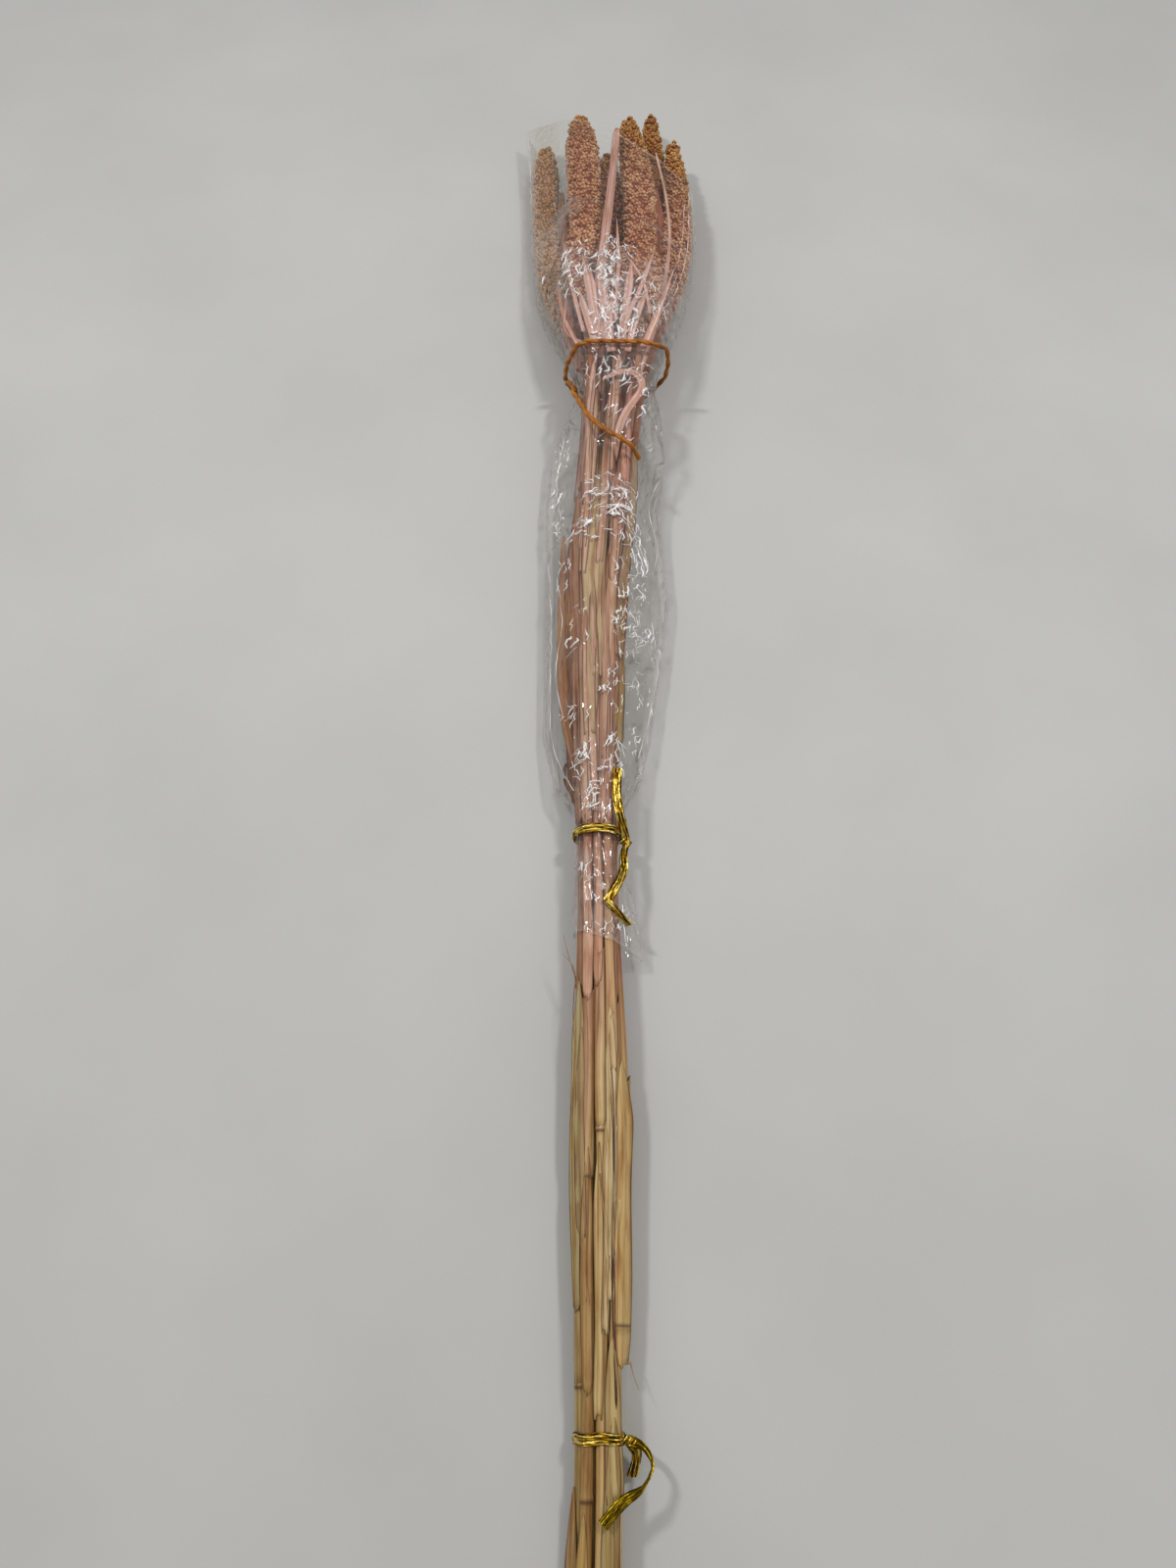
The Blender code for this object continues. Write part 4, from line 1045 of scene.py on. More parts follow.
def make_neck_leaves(material):
    """Narrow pink leaves under the film at the neck, and dried ones further down."""
    bits = []
    for route, half in NECK_LEAVES:
        points = evenly([(x, y, film_top(x, y) - LEAF_UNDER_FILM) for x, y in route], 2.5)
        halves = half * np.minimum(1, 0.1 + 3.2 * np.linspace(0, 1, len(points)))
        bits.append(leaf_strip("bit", points, halves, "#FFE2E6", "#E8B4B8", across=5, thickness=0.12))
    for route, half, colour in DEEP_LEAVES:
        points = evenly(route, min(4.0, abs(route[-1][1] - route[0][1]) / 5))
        halves = half * np.sin(np.linspace(0.5, 2.9, len(points)))
        bits.append(leaf_strip("bit", points, halves, colour, colour, fold=0.8, across=5, thickness=0.12))
    hand_over(join("neck_leaves", bits), material, "stalk")


def make_fibres(material):
    """Threads that taper from root to tip."""
    threads = []
    for route in FIBRES:
        path = evenly(route, 2.0)
        rings = tube_grid(path, np.linspace(0.28, 0.07, len(path)), 5)
        colours = np.broadcast_to(tint("#B89566"), (*rings.shape[:2], 4))
        threads.append(grid_piece("thread", rings, closed=True, marks={"tint": colours}, lengths=rings[..., :2]))
    hand_over(join("loose_fibres", threads), material, "stalk")


def make_stalk(number, material):
    """A culm with its rolled sheaths, in place of the solid stalk."""
    parts = [make_culm(number)] + [make_sheath(number, *sheath) for sheath in STALKS[number].sheaths]
    stalk = join(f"stalk_{number:02d}_straw", parts)
    return hand_over(stalk, material, "stalk", f"stalk_{number:02d}")


def leaf_strip(name, points, halves, colour, edge, fold=0.35, across=9, thickness=0.22):
    """A leaf blade along points: keeled along its midrib, with darker edges."""
    points = np.asarray(points, float)
    _, side, up = frames_along(points)
    u = np.linspace(-1, 1, across)
    halves = np.asarray(halves, float)
    dip = fold * (1 - np.abs(u)) ** 1.3
    laid = (points[:, None] + (halves[:, None] * u)[..., None] * side[:, None]
            - (np.minimum(1, halves / 2)[:, None] * dip)[..., None] * up[:, None])
    share = np.clip(np.abs(u) ** 8 + 0.35 * np.exp(-(u / 0.1) ** 2), 0, 1)[None, :, None]
    colours = np.broadcast_to(blend(tint(colour), tint(edge), share), (len(points), across, 4))
    lengths = strip_lengths(halves[:, None] * u, run_along(points))
    return grid_piece(name, laid, marks={"tint": colours}, lengths=lengths, wall=thickness)


# The blades' colour and their edges', by stalk
BLADE_TONES = {8: ("#E6C2C4", "#B0848A"), 9: ("#F4D6D2", "#CC9CA0"), 7: ("#F2CECC", "#C09494"),
               1: ("#BC8C5C", "#8A5230")}


def make_leaf_blades(material):
    """The blades that have a body in the stalks' solids."""
    for blade in BLADES:
        points, halves = blade_route(blade, 2.5)
        halves = halves.copy()
        halves[-4:] *= np.array((0.97, 0.88, 0.7, 0.4))
        strip = leaf_strip(f"leaf_blade_{blade.stalk:02d}", points, halves, *BLADE_TONES[blade.stalk])
        hand_over(strip, material, "stalk")


# Film

FILM_ROWS = 320
FILM_COLUMNS = 176
# Places (x, y) of the film's creased patches, how far they spread and how strong they are
CRUMPLES = (
    (-17, 262, 11, 1.0), (-24, 250, 8, 0.9), (-36, 268, 6, 0.8), (0, 258, 11, 0.9), (3, 240, 12, 1.0),
    (10, 222, 10, 0.7), (22, 250, 8, 0.8), (29, 238, 7, 0.8), (-12, 226, 8, 0.5), (34, 225, 6, 0.5),
    (-8, 206, 8, 0.5), (2, 212, 9, 0.7), (20, 196, 9, 0.5), (6, 182, 12, 0.7), (-14, 176, 7, 0.5),
    (22, 172, 7, 0.6), (24, 150, 8, 0.8), (25, 136, 7, 0.8), (-19, 138, 9, 0.6), (2, 150, 8, 0.5),
    (-11, 112, 8, 0.9), (-2, 112, 8, 1.0), (8, 106, 9, 0.9), (18, 112, 7, 0.7), (-28, 120, 6, 0.9),
    (-30, 104, 6, 0.9), (-5, 92, 6, 0.6), (12, 92, 7, 0.9), (20, 88, 6, 0.8), (14, 76, 7, 1.0),
    (22, 70, 6, 0.9), (11, 60, 7, 0.8), (20, 52, 6, 0.8), (13, 42, 7, 1.0), (22, 36, 5, 0.6), (14, 24, 7, 0.9),
    (21, 20, 5, 0.7), (8, 10, 6, 0.6), (-27, 58, 5, 0.7), (-22, 84, 5, 0.5), (-20, 22, 5, 0.5),
    (22, -4, 6, 0.7), (16, -20, 6, 0.5), (-21, -6, 5, 0.5), (-14, -28, 6, 0.7), (-12, -48, 6, 0.8),
    (-6, -40, 6, 0.6), (3, -28, 5, 0.8), (4, -36, 5, 0.9), (-5, -58, 6, 0.6), (15, -40, 6, 0.4),
    (-13, -84, 5, 0.6), (-6, -114, 5, 0.9), (-2, -118, 4, 0.9), (4, -112, 5, 0.8), (9, -100, 6, 0.6),
    (10, -116, 4, 0.6),
)


# How far the film's outline reaches to each of its sides, along the bundle
SPREAD_Y = np.arange(-160.0, 432.0, 2.0)
SPREADS = np.array([film_reach(y) for y in SPREAD_Y])
# The film's pleats: how many go round it, and how high they stand by the neck, by the tie and elsewhere
PLEATS = 11
NECK_Y = 195
NECK_PLEAT, TIE_PLEAT, FREE_PLEAT = 1.1, 0.7, 0.12
# The flat facets that crumpled film breaks into: their size across, along and up
FACET_SIZE = (6.0, 9.5, 6.0)
FACET_HEIGHT = 0.9
FACET_EDGE = 0.5
# How high the facets stand on smooth film, and how much more on crumpled film
FACETS_SMOOTH, FACETS_CRUMPLED = 0.06, 1.2
# Below this height the film lies on the table, with this share of its folds
FLOOR_Z = 3.0
FLOOR_FOLDS = 0.15
# The film is held flat this close to the band, the tie and its tails, and free from this far on
HELD_WITHIN = 3.0
FREE_BEYOND = 9.0


def film_corner(side, y):
    """Corner of the film's outline after a side, at each of several places along the bundle."""
    following = (side + 1) % FILM_SIDES
    here, after = np.interp(y, SPREAD_Y, SPREADS[:, side]), np.interp(y, SPREAD_Y, SPREADS[:, following])
    turn, turn_after = FILM_TURNS[side], FILM_TURNS[following]
    sine = math.sin(turn_after - turn)
    x = (here * math.sin(turn_after) - after * math.sin(turn)) / sine
    z = (after * math.cos(turn) - here * math.cos(turn_after)) / sine
    return x, z


def film_base():
    """The smooth film before its folds, as rows of columns of points."""
    rows = np.linspace(FILM_SLANT[0][0], FILM_SLANT[0][-1], FILM_ROWS)
    slope = np.interp(rows, *FILM_SLANT)
    corners = np.empty((FILM_ROWS, FILM_SIDES, 3))
    for side in range(FILM_SIDES):
        y = rows.copy()
        for _ in range(5):
            x, z = film_corner(side, y)
            y = rows + slope * x
        corners[:, side] = np.stack([x, y, z], axis=1)
    # Each row is cut into equal lengths, counted from the corner over the right edge
    points = np.empty((FILM_ROWS, FILM_COLUMNS + 1, 3))
    share = np.linspace(0, 1, FILM_COLUMNS + 1)
    for row in range(FILM_ROWS):
        ring = np.concatenate([corners[row], corners[row][:1]])
        steps = np.linalg.norm(np.diff(ring, axis=0), axis=1) + 0.15
        run = np.concatenate([[0], np.cumsum(steps)])
        run /= run[-1]
        for axis in range(3):
            points[row, :, axis] = np.interp(share, run, ring[:, axis])
    # A little rounding at the corners, as a thin film has
    for _ in range(3):
        inner = points[:, :-1]
        points[:, :-1] = inner * 0.6 + 0.2 * (np.roll(inner, 1, axis=1) + np.roll(inner, -1, axis=1))
        points[:, -1] = points[:, 0]
    return points


def crumple_share(points):
    """How crumpled the film is at each point, less on its lower side."""
    share = np.zeros(points.shape[:2])
    for x, y, size, strength in CRUMPLES:
        distance = ((points[..., 0] - x) ** 2 + (points[..., 1] - y) ** 2) / size**2
        share = np.maximum(share, strength * np.exp(-distance))
    return np.where(points[..., 2] > 9.0, share, share * 0.4)


def held_share(points):
    """1 on free film, falling to 0 under the band, the tie and the tie's tails."""
    guards = [tuple(point) for point in band_route()[::6]]
    for turn in np.linspace(0, 2 * math.pi, 40):
        x, z = on_outline(film_around(UPPER_TIE_Y), UPPER_TIE_CENTRE, turn)
        guards.append((x, UPPER_TIE_Y, z))
    for route in (UPPER_TAIL_UP, UPPER_TAIL_DOWN):
        for (x0, y0), (x1, y1) in zip(route, route[1:]):
            for share in (0, 0.33, 0.67):
                x, y = x0 + (x1 - x0) * share, y0 + (y1 - y0) * share
                guards.append((x, y, tail_height(x, y) - TAIL_LIFT))
    tree = kdtree.KDTree(len(guards))
    for index, guard in enumerate(guards):
        tree.insert(guard, index)
    tree.balance()
    near = np.array([tree.find(point)[2] for point in points.reshape(-1, 3)]).reshape(points.shape[:2])
    return ramp(near, HELD_WITHIN, FREE_BEYOND)


def film_folds(points, crumple, held):
    """How far the film stands out at each point: pleats from the neck and tie, and crumpled patches."""
    rows, columns = points.shape[:2]
    heights = np.zeros((rows, columns))
    across, along, upward = FACET_SIZE
    for row in range(rows):
        y = points[row, 0, 1]
        near_neck = math.exp(-((y - NECK_Y) / 50) ** 2)
        near_tie = math.exp(-((y - UPPER_TIE_Y) / 36) ** 2)
        for column in range(columns - 1):
            x, y, z = points[row, column]
            turn = column / (columns - 1) * 2 * math.pi
            wander = 1.1 * noise.noise((0.6 * math.cos(turn), y / 60, 0.6 * math.sin(turn)))
            pleat = 1 - abs(math.sin(PLEATS * turn + 5 * wander))
            height = (NECK_PLEAT * near_neck + TIE_PLEAT * near_tie + FREE_PLEAT) * pleat**2
            cells, seeds = noise.voronoi((x / across, y / along, z / upward))
            edge = math.exp(-((cells[1] - cells[0]) / 0.16) ** 2)
            tilt = 0.5 + 0.5 * noise.noise(seeds[0] * 3.7)
            tilt_next = 0.5 + 0.5 * noise.noise(seeds[1] * 3.7)
            blend = min(1.0, (cells[1] - cells[0]) / 0.6)
            facet = tilt * (0.5 + 0.5 * blend) + tilt_next * (0.5 - 0.5 * blend)
            stand = FACETS_SMOOTH + FACETS_CRUMPLED * crumple[row, column]
            height += stand * (FACET_EDGE * edge + FACET_HEIGHT * facet)
            heights[row, column] = height
        heights[row, -1] = heights[row, 0]
    return heights * (0.12 + 0.88 * held)


def film_marks(points, crumple):
    """How white a veil the film has, and how olive: a faint milkiness of its own, and painted reflection by its
    sides, its crumples, the veiled left and its ends.
    """
    x, y = points[..., 0], points[..., 1]
    side = np.abs(x - x.mean(axis=1, keepdims=True))
    side = ramp(side / side.max(axis=1, keepdims=True), 0.86, 1)
    veiled = ramp(x, -20, -34) * ramp(y, 200, 250)
    ends = 0.45 * ramp(y, -76, -84) + ramp(np.abs(y - 228), 44, 0)
    # Painted reflection where the film turns away at its sides, in its crumples, over the left head and at its
    # gathered ends
    haze_and_sheen = 0.012 + 0.15 * side + 0.09 * crumple + 0.2 * veiled * (1 - side) + 0.12 * ends * (1 - side)
    haze_and_sheen[[0, -1]] = np.maximum(haze_and_sheen[[0, -1]], 0.16)
    return {"haze_and_sheen": haze_and_sheen, "olive": veiled * (1 - side)}


def make_film(material):
    """The clear sleeve: its smooth shape moved outwards by its folds, and pressed flat below."""
    points = film_base()
    crumple = crumple_share(points)
    across = np.gradient(points, axis=1)
    across[:, 0] = across[:, -1] = points[:, 1] - points[:, -2]
    normal = np.cross(np.gradient(points, axis=0), across)
    normal /= np.maximum(np.linalg.norm(normal, axis=2), 1e-9)[..., None]
    out = points - points[:, :-1].mean(axis=1, keepdims=True)
    normal *= np.sign((normal * out).sum(axis=2).mean())
    heights = film_folds(points, crumple, held_share(points))
    heights = np.where(points[..., 2] < FLOOR_Z, heights * FLOOR_FOLDS - 0.1, heights - 0.15)
    laid = points + normal * heights[..., None]
    laid[..., 2] = np.maximum(laid[..., 2], 0.02)
    film = grid_piece("film_sleeve_clear", laid, closed=True, marks=film_marks(points, crumple))
    return hand_over(film, material, "film_sleeve", "film_sleeve")


# Patches of sharp creases on the film's upper side, drawn white as painted highlights: middle (x, y), spread (x, y),
# the way that most of them run in degrees, and how many
CREASES = (
    (-18, 260, 8, 14, 58, 52), (-22, 246, 7, 8, 75, 18), (1, 246, 6, 24, 84, 81), (5, 214, 15, 9, 70, 47),
    (16, 238, 7, 8, 50, 18), (26, 228, 4, 11, 80, 17), (-35, 262, 3, 9, 80, 10), (9, 262, 8, 11, -60, 10),
    (-4, 186, 9, 13, 80, 28), (14, 182, 9, 10, 30, 25), (-17, 190, 5, 12, 75, 13), (23, 158, 6, 22, 70, 34),
    (6, 150, 10, 12, 60, 15), (-25, 146, 4, 12, 70, 22), (-27, 110, 4, 18, 70, 39), (-1, 107, 17, 9, 30, 45),
    (-12, 88, 9, 5, 10, 22), (-24, 65, 4, 11, 60, 18), (9, 84, 10, 13, 75, 34), (13, 94, 6, 10, -60, 18),
    (9, 52, 8, 18, 70, 42), (15, 66, 6, 15, 80, 15), (7, 29, 8, 12, 70, 32), (15, 7, 5, 11, 60, 18),
    (-17, 33, 5, 14, 80, 11), (-1, 5, 6, 9, 70, 10), (-21, -11, 5, 5, 20, 7), (1, -34, 4, 10, 84, 22),
    (14, -31, 6, 14, 70, 13), (-14, -36, 4, 12, 84, 15), (-9, -57, 6, 6, 60, 17), (-3, -46, 8, 7, 30, 10),
    (-13, -88, 4, 6, 70, 10), (-8, -106, 4, 13, 76, 7), (-7, -125, 5, 2, 5, 10), (-3, -118, 4, 7, 60, 8),
    (1, 262, 4, 20, 84, 25), (1, 222, 5, 16, 80, 25), (0, 115, 16, 6, -34, 17), (8, 66, 5, 26, 78, 13),
    (12, 40, 5, 20, 70, 8), (-10, 94, 12, 7, 50, 13), (7, 100, 8, 8, -50, 17), (4, -6, 6, 16, 75, 13),
    (-16, -26, 4, 14, 80, 10), (5, -113, 3, 8, 76, 6), (10, -104, 3, 12, 80, 7), (22, -6, 4, 14, 75, 11),
    (21, 30, 4, 12, 75, 11),
)
# Long folds down the film's sides and along its ends, drawn white as painted highlights, each with half its width
LONG_FOLDS = (
    (0.2, ((20.1, 184.1), (23.1, 136.5), (27.0, 79.8), (26.6, 56.1), (24.4, 11.1), (19.4, -20.5), (9.6, -48.0))),
    (0.2, ((-31.4, 83.7), (-29.4, 36.6), (-29.6, 3.4), (-27.6, -24.0), (-18.2, -50.0))),
    (0.3, ((11.0, 102.9), (16.2, 96.1), (12.1, 85.1), (17.3, 79.7))),
    (0.2, ((-33.4, 273.9), (-27.6, 246.7), (-18.2, 209.4))),
    (0.18, ((25.0, 132.0), (20.0, 112.0), (24.0, 92.0), (21.0, 70.0))),
    (0.18, ((20.0, 44.0), (22.4, 20.0), (18.4, -4.0), (12.0, -30.0))),
    (0.3, ((9.4, -92.0), (11.0, -106.0), (11.4, -117.0))), (0.32, ((6.6, -92.0), (8.0, -106.0), (9.0, -116.0))),
    (0.28, ((8.0, -84.0), (10.2, -98.0), (11.8, -112.0))), (0.34, ((3.4, -104.0), (4.0, -112.0), (4.8, -120.0))),
    (0.07, ((-46, 416), (-20, 397), (0, 382.4), (20, 367.8), (44, 350.4))),
    (0.24, ((-48.2, 408), (-45.6, 362), (-43.2, 324), (-38.4, 276), (-27.0, 240), (-18, 214))),
    (0.15, ((-44.0, 404), (-42.0, 362), (-40.0, 324), (-35.4, 280))),
    (0.16, ((-48.8, 412), (-47.0, 380), (-46.0, 350))),
    (0.14, ((-40.4, 322), (-36.8, 290), (-30.4, 258), (-22, 226))),
    (0.14, ((-43.6, 330), (-37.4, 290), (-29.0, 250))), (0.16, ((47.0, 350), (46.4, 320), (41.0, 276))),
    (0.16, ((38.0, 262), (31.0, 238), (24.0, 220))),
    (0.2, ((48.6, 344), (48.0, 324), (43.2, 276), (33.6, 240), (22, 212))),
    (0.15, ((45.4, 330), (40.4, 280), (31, 244))),
    (0.18, ((18.0, 60.0), (23.0, 44.0), (21.0, 24.0), (24.0, 8.0))),
    (0.18, ((-27.0, 70.0), (-24.0, 40.0), (-27.0, 14.0), (-23.0, -12.0))),
    (0.18, ((24.0, 172.0), (27.0, 150.0), (22.0, 128.0))),
    (0.18, ((-24.0, 160.0), (-28.0, 132.0), (-25.0, 104.0))),
)


# Half the widths that creases have at most, and how often. One that would fall by more than CREASE_DROP
# between two corners is left out, because it would hang in the air.
CREASE_HALVES = (0.16, 0.24, 0.36, 0.6)
CREASE_ODDS = (0.3, 0.33, 0.23, 0.14)
CREASE_DROP = 2.5


def crease_way(x, y, heading):
    """A short zigzag of straight runs across the film, with half the width at each corner."""
    runs = chance.integers(1, 5)
    route = [(x, y)]
    angle = math.radians(heading) + chance.choice((0, math.pi)) + chance.normal(0, 0.36)
    side = chance.choice((-1, 1))
    for _ in range(runs):
        turn = angle + side * chance.uniform(0.1, 0.95)
        side = -side if chance.uniform() < 0.7 else side
        length = chance.uniform(0.6, 2.9)
        route.append((route[-1][0] + length * math.cos(turn), route[-1][1] + length * math.sin(turn)))
    share = np.linspace(0, 1, len(route))
    # Broader by the neck and down the sides, and narrow by the torn lower end
    broader = 1.35 if y > 200 or abs(x + 3) > 19 else 1.1 if y > -80 else 0.95
    widest = broader * chance.choice(CREASE_HALVES, p=CREASE_ODDS)
    taper = np.array((0.9, 0.3)) if runs == 1 else 0.25 + 0.75 * np.sin(math.pi * np.clip(share * 0.9 + 0.05, 0, 1))
    return route, widest * taper * chance.uniform(0.7, 1.2, len(route))


def make_creases(film, material):
    """Low ridges that lie on the film's upper side and taper to both ends, white with painted highlight."""
    surface = BVHTree.FromObject(film, bpy.context.evaluated_depsgraph_get())
    ways = [crease_way(x + chance.uniform(-1, 1) * wide, y + chance.uniform(-1, 1) * tall, heading)
            for x, y, wide, tall, heading, count in CREASES for _ in range(count)]
    for half, route in LONG_FOLDS:
        path = evenly([(x, y, 0) for x, y in route], 3.0)[:, :2]
        path = path + chance.normal(0, 0.16, path.shape)
        ways.append((path, half * (0.6 + 0.4 * np.sin(np.arange(len(path)) * 0.9))))
    ridges = bpy.data.curves.new("creases", "CURVE")
    ridges.dimensions = "3D"
    ridges.bevel_depth = MM
    ridges.bevel_resolution = 0
    ridges.use_fill_caps = True
    for route, halves in ways:
        hits = [surface.ray_cast(Vector((x * MM, y * MM, 0.2)), Vector((0, 0, -1)))[0] for x, y in route]
        if None in hits or max(abs(a.z - b.z) for a, b in zip(hits, hits[1:])) > CREASE_DROP * MM:
            continue
        spline = ridges.splines.new("POLY")
        spline.points.add(len(hits) - 1)
        for corner, hit, half in zip(spline.points, hits, halves):
            corner.co = (*hit, 1)
            corner.radius = half
    creases = bpy.data.objects.new("film_creases", ridges)
    bpy.context.scene.collection.objects.link(creases)
    choose(creases)
    bpy.ops.object.convert(target="MESH")
    return hand_over(bpy.context.object, material, "film_sleeve")


# Rubber band and ties

def band_route():
    """The rubber band's line round the film, just clear of it."""
    fine = np.linspace(BAND_ANGLES[0], BAND_ANGLES[-1], 400)
    places = smooth_curve(BAND_ANGLES, BAND_PLACES, fine)
    points = []
    for angle, y in zip(np.radians(fine), places):
        x, z = on_outline(film_around(y), BAND_CENTRE, angle, BAND_RADIUS + BAND_BEAD + BAND_GAP)
        points.append((x, y, z))
    return np.array(points)


STRAND_RADIUS = 0.86
STRAND_OFFSET = 0.46
STRAND_PITCH = 13.0


def make_band(material):
    """One loop of rubber used double, its two strands twisted round each other."""
    route = evenly(band_route(), 1.0)
    along = unit(np.gradient(route, axis=0))
    out = route - np.array([BAND_CENTRE[0], 0, BAND_CENTRE[1]]) * (1, 0, 1)
    out[:, 1] = 0
    out = unit(out - along * (out * along).sum(axis=1)[:, None])
    side = np.cross(along, out)
    run = np.arange(len(route)) * 1.0
    strands = []
    for phase in (0, math.pi):
        turn = run / STRAND_PITCH * 2 * math.pi + phase
        path = route + STRAND_OFFSET * (np.cos(turn)[:, None] * out + np.sin(turn)[:, None] * side)
        radii = STRAND_RADIUS * (1 + 0.05 * np.sin(run / 2.3 + phase))
        radii[0] *= 0.75
        radii[-1] *= 0.75
        strands.append(grid_piece("strand", tube_grid(path, radii, 10), closed=True))
    return hand_over(join("rubber_band_twisted", strands), material, "rubber_band", "rubber_band")


FOIL_WALL = 0.16
# The upper tie's tails with the degrees that each rolls by: the one up, and the one down before and after its fold
UPPER_TAILS = ((UPPER_TAIL_UP, (20, -8, 6)), (UPPER_TAIL_DOWN[:5], (50, 20, -25, -10)),
               (UPPER_TAIL_DOWN[4:], (58, 66)))
WIRE_PROFILE = np.array([(-1.0, -0.2), (-0.9, 0.12), (-0.72, 0.22), (-0.5, -0.06), (-0.22, -0.02), (-0.1, 0.36),
                         (0.0, 0.46), (0.1, 0.36), (0.22, -0.02), (0.5, -0.1), (0.72, 0.16), (0.9, 0.1), (1.0, -0.2)])


def foil_strip(name, points, ups, closed=False):
    """A strip of crinkled foil along points, raised along the wire in its middle and at its folded edges."""
    points = np.asarray(points, float)
    ups = np.asarray(ups, float)
    along = np.gradient(points, axis=0)
    if closed:
        along[0] = along[-1] = points[1] - points[-2]
    side = unit(np.cross(along, ups))
    ups = unit(np.cross(side, along))
    u, h = WIRE_PROFILE.T
    h = h + chance.normal(0, 0.05, (len(points), len(u)))
    u = u * (1 + chance.normal(0, 0.03, (len(points), 1)))
    if closed:
        h[-1], u[-1] = h[0], u[0]
    across = u * TIE_WIDTH / 2
    laid = points[:, None] + across[..., None] * side[:, None] + h[..., None] * ups[:, None]
    return grid_piece(name, laid, closed=closed, lengths=strip_lengths(across, run_along(points)), wall=FOIL_WALL)


def tie_band(y, spread, centre):
    """The foil wound once round an outline, with a slight ripple."""
    points, ups = [], []
    for turn in np.linspace(0, 2 * math.pi, 73):
        x, z = on_outline(spread, centre, turn, JOINT_GAP + TIE_THICKNESS / 2)
        points.append((x, y + 0.25 * math.sin(5 * turn), z))
        ups.append((math.cos(turn), 0, math.sin(turn)))
    return foil_strip("band", points, ups, closed=True)


def twisted_knot(start, end, radius, turns_round):
    """Two foil strips wrung together into a short rope."""
    start, end = np.array(start, float), np.array(end, float)
    share = np.linspace(0, 1, 26)
    line = start + (end - start) * share[:, None]
    lengths = np.stack(np.meshgrid(np.linspace(0, 4, 9), np.linspace(0, 9, 28)), axis=2)
    _, side, up = frames_along(line)
    strands = []
    for phase in (0, math.pi):
        turn = share * turns_round * 2 * math.pi + phase
        path = line + 0.55 * radius * (np.cos(turn)[:, None] * side + np.sin(turn)[:, None] * up)
        radii = radius * 0.62 * (1 + 0.18 * np.sin(share * 31 + phase))
        strands.append(grid_piece("strand", tube_grid(path, radii, 8), closed=True, lengths=lengths))
    return strands


def foil_tail(route, rolls):
    """A tie's loose end along a route, rolled about its own line by these degrees, evenly spread along it."""
    points = evenly(route, 1.2)
    _, side, up = frames_along(points)
    roll = np.radians(np.interp(np.linspace(0, 1, len(points)), np.linspace(0, 1, len(rolls)), rolls))[:, None]
    return foil_strip("tail", points, up * np.cos(roll) + side * np.sin(roll))


def make_ties(bright, olive):
    """Both twist ties: band, tails and knot, with the lower one's long tail in a darker copy of the foil, painted
    shade for a tail turned from the lamps.
    """
    upper = [tie_band(UPPER_TIE_Y, film_around(UPPER_TIE_Y), UPPER_TIE_CENTRE)]
    for route, rolls in UPPER_TAILS:
        upper.append(foil_tail([(x, y, tail_height(x, y)) for x, y in route], rolls))
    x, y, z = UPPER_KNOT
    upper += twisted_knot((x - 2.0, y, z + 0.3), (x + 1.8, y - 1.2, z), 1.5, 1.2)
    spread = reach(section(LOWER_TIE_Y - 2, False) + section(LOWER_TIE_Y + 2, False))
    lower = [tie_band(LOWER_TIE_Y, spread, LOWER_TIE_CENTRE), foil_tail(LOWER_SHORT_TAIL, (20, -30, -20))]
    tail = foil_tail(LOWER_TAIL, (10, 56, 82, 84, 34, 0, 0))
    x, y, z = LOWER_KNOT
    lower += twisted_knot((x - 2.0, y, z + 0.3), (x + 2.4, y - 0.6, z), 1.5, 1.4)
    tail.name = "wire_tie_lower_tail"
    upper, lower = join("wire_tie_upper_foil", upper), join("wire_tie_lower_foil", lower)
    # The olive foil is the gold foil's painted-shade copy, darker for the lower tail
    for tie, material, node in ((upper, bright, "wire_tie_upper"), (lower, bright, "wire_tie_lower"),
                                (tail, olive, "wire_tie_lower")):
        hand_over(tie, material, "wire_tie", node)
        choose(tie)
        bpy.ops.object.shade_smooth_by_angle(angle=math.radians(16))


# The scene

CAMERA_PLACE = (-0.0114, -0.286, 0.500)
CAMERA_TILT = math.radians(26.6)
CAMERA_LENS = 27.045
LAMP_SIZE = (0.07, 0.14)
LAMP_TARGET = (-0.01, 0.0, 0)
LAMP_COLOUR = (0.98, 0.98, 1.0)
LAMPS = {"lamp_left": ((-0.60, 0.25, 1.15), 4.85), "lamp_right": ((0.50, 0.20, 1.15), 4.7)}


def stand(name, data, place, turned):
    """Stands a camera or a lamp in the scene."""
    holder = bpy.data.objects.new(name, data)
    holder.location = place
    holder.rotation_euler = turned
    bpy.context.scene.collection.objects.link(holder)
    return holder


def make_camera():
    """The photograph's view of the bundle."""
    camera = bpy.data.cameras.new("camera")
    camera.lens = CAMERA_LENS
    camera.sensor_width = 36.0
    camera.clip_start = 0.01
    bpy.context.scene.camera = stand("camera", camera, CAMERA_PLACE, (CAMERA_TILT, 0, 0))


def make_lamp(name, place, power):
    """An oblong lamp that looks at the bundle."""
    lamp = bpy.data.lights.new(name, "AREA")
    lamp.shape = "RECTANGLE"
    lamp.size, lamp.size_y = LAMP_SIZE
    lamp.energy = power
    lamp.color = LAMP_COLOUR
    stand(name, lamp, place, (Vector(LAMP_TARGET) - Vector(place)).to_track_quat("-Z", "Y").to_euler())


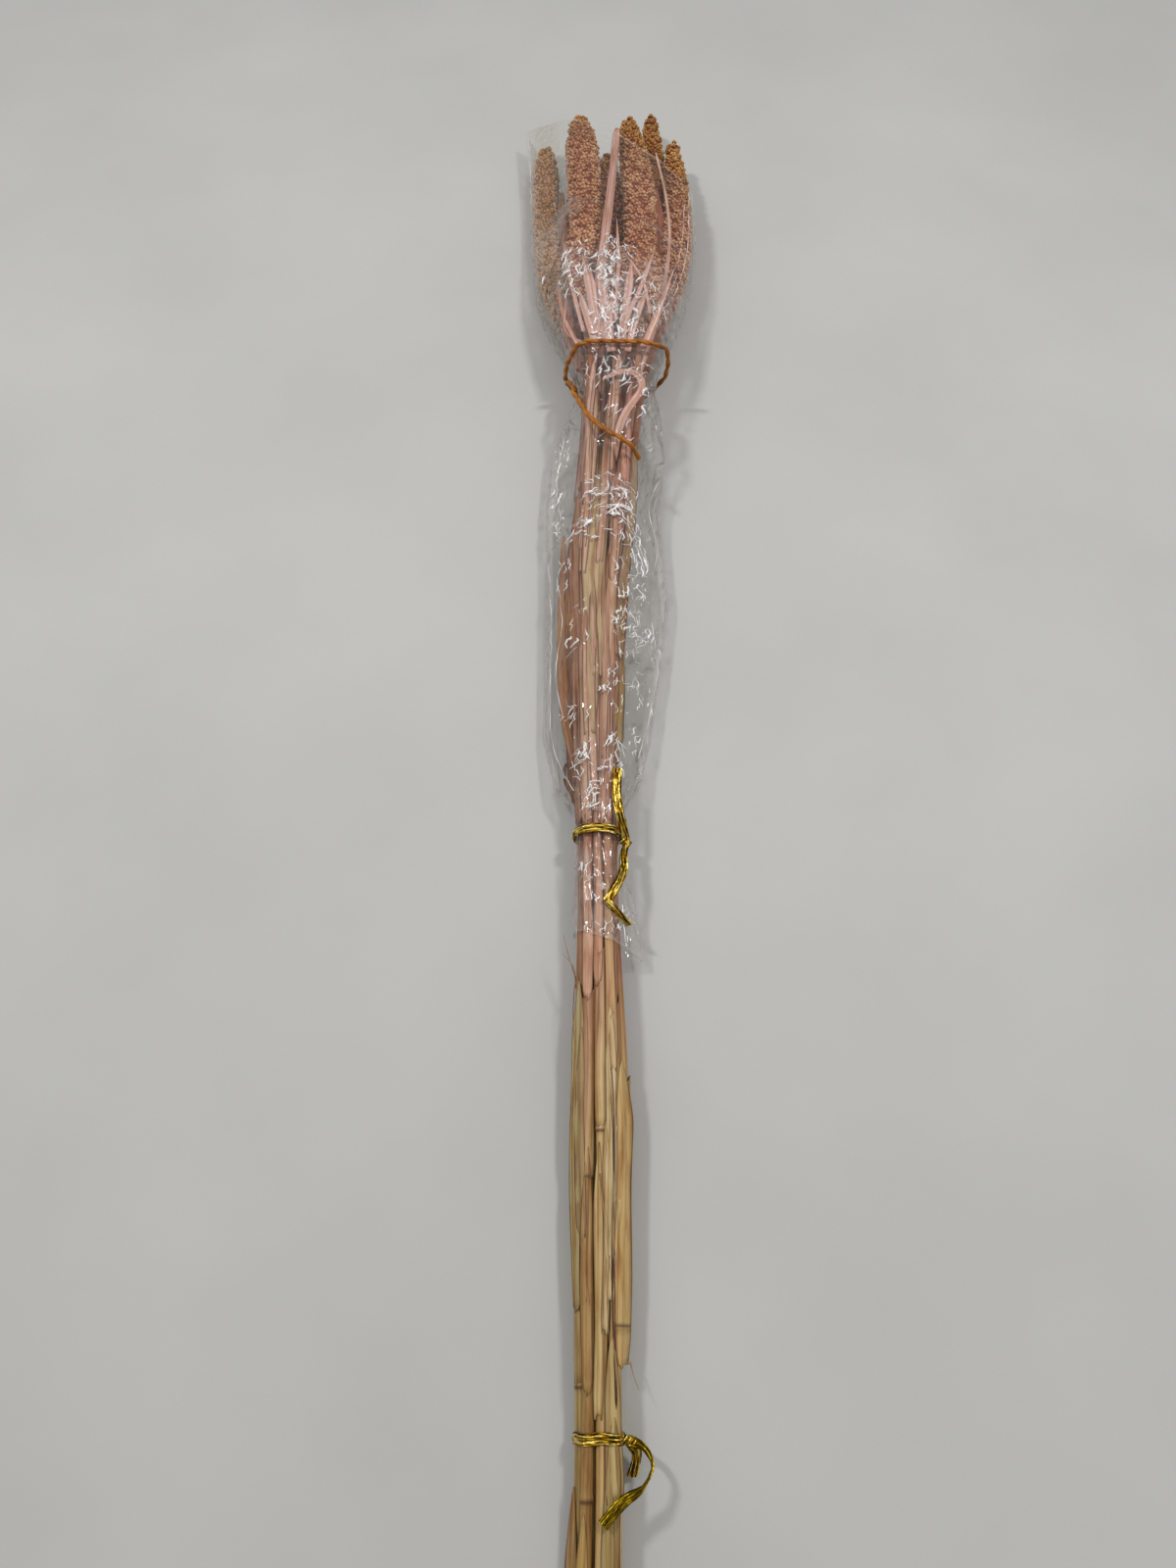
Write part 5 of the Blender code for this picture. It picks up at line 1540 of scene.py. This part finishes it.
def make_studio():
    """The pale board, the room's light and the two ceiling lamps whose glints show on the film."""
    bpy.ops.mesh.primitive_plane_add(size=6)
    board = bpy.context.object
    board.name = "board"
    board.data.materials.append(pale_board())
    world = bpy.data.worlds.new("studio")
    world.use_nodes = True
    tree = world.node_tree
    # A pale ceiling, darker towards the walls and over the side that the picture is taken from
    way = add(tree, "TexCoord", out="Generated")
    upward, onward = (add(tree, "SeparateXYZ", {"Vector": way}, out=axis) for axis in "ZY")
    height = add(tree, "ValToRGB", {"Fac": upward}, stops=((0.0, 0.14), (0.5, 0.43), (1.0, 0.58)))
    depth = add(tree, "MapRange", {"Value": onward, "From Min": -0.9, "From Max": 0.1, "To Min": 0.6})
    light = add(tree, "Math", {0: height, 1: depth}, operation="MULTIPLY")
    background = tree.nodes["Background"]
    background.inputs["Color"].default_value = (1.0, 0.985, 0.96, 1)
    tree.links.new(light, background.inputs["Strength"])
    bpy.context.scene.world = world
    for name, (place, power) in LAMPS.items():
        make_lamp(name, place, power)
    bpy.context.scene.view_settings.view_transform = "Standard"


def main():
    """The camera and studio first, then each piece with its material."""
    make_camera()
    make_studio()
    husk = millet_husk()
    straw = dry_straw("dry_straw", 2.6, 0.00025, 0.5)
    leaf = dry_straw("dry_leaf", 3.4, 0.0002, 0.6)
    grain = one_grain()
    for number in STALKS:
        make_head(number, grain, husk)
        make_stalk(number, straw)
    make_leaf_blades(leaf)
    make_loose_sheaths(straw)
    make_neck_leaves(leaf)
    make_fibres(straw)
    film = make_film(clear_film())
    make_creases(film, crease_highlight_film())
    make_band(amber_rubber())
    # Both foils' ramps run from dark to bright as painted reflection; the second, darker one is painted shade for the
    # lower tie's long tail
    bright = gold_foil("gold_foil", 0.9, ((0.4, "#1E1202"), (0.46, "#8A6208"), (0.52, "#DCAC20"), (0.58, "#FFF08C")))
    make_ties(bright, gold_foil("gold_foil_painted_shade", 0.3, ((0.36, "#32280A"), (0.5, "#76600E"), (0.64, "#A88C1C"))))


main()
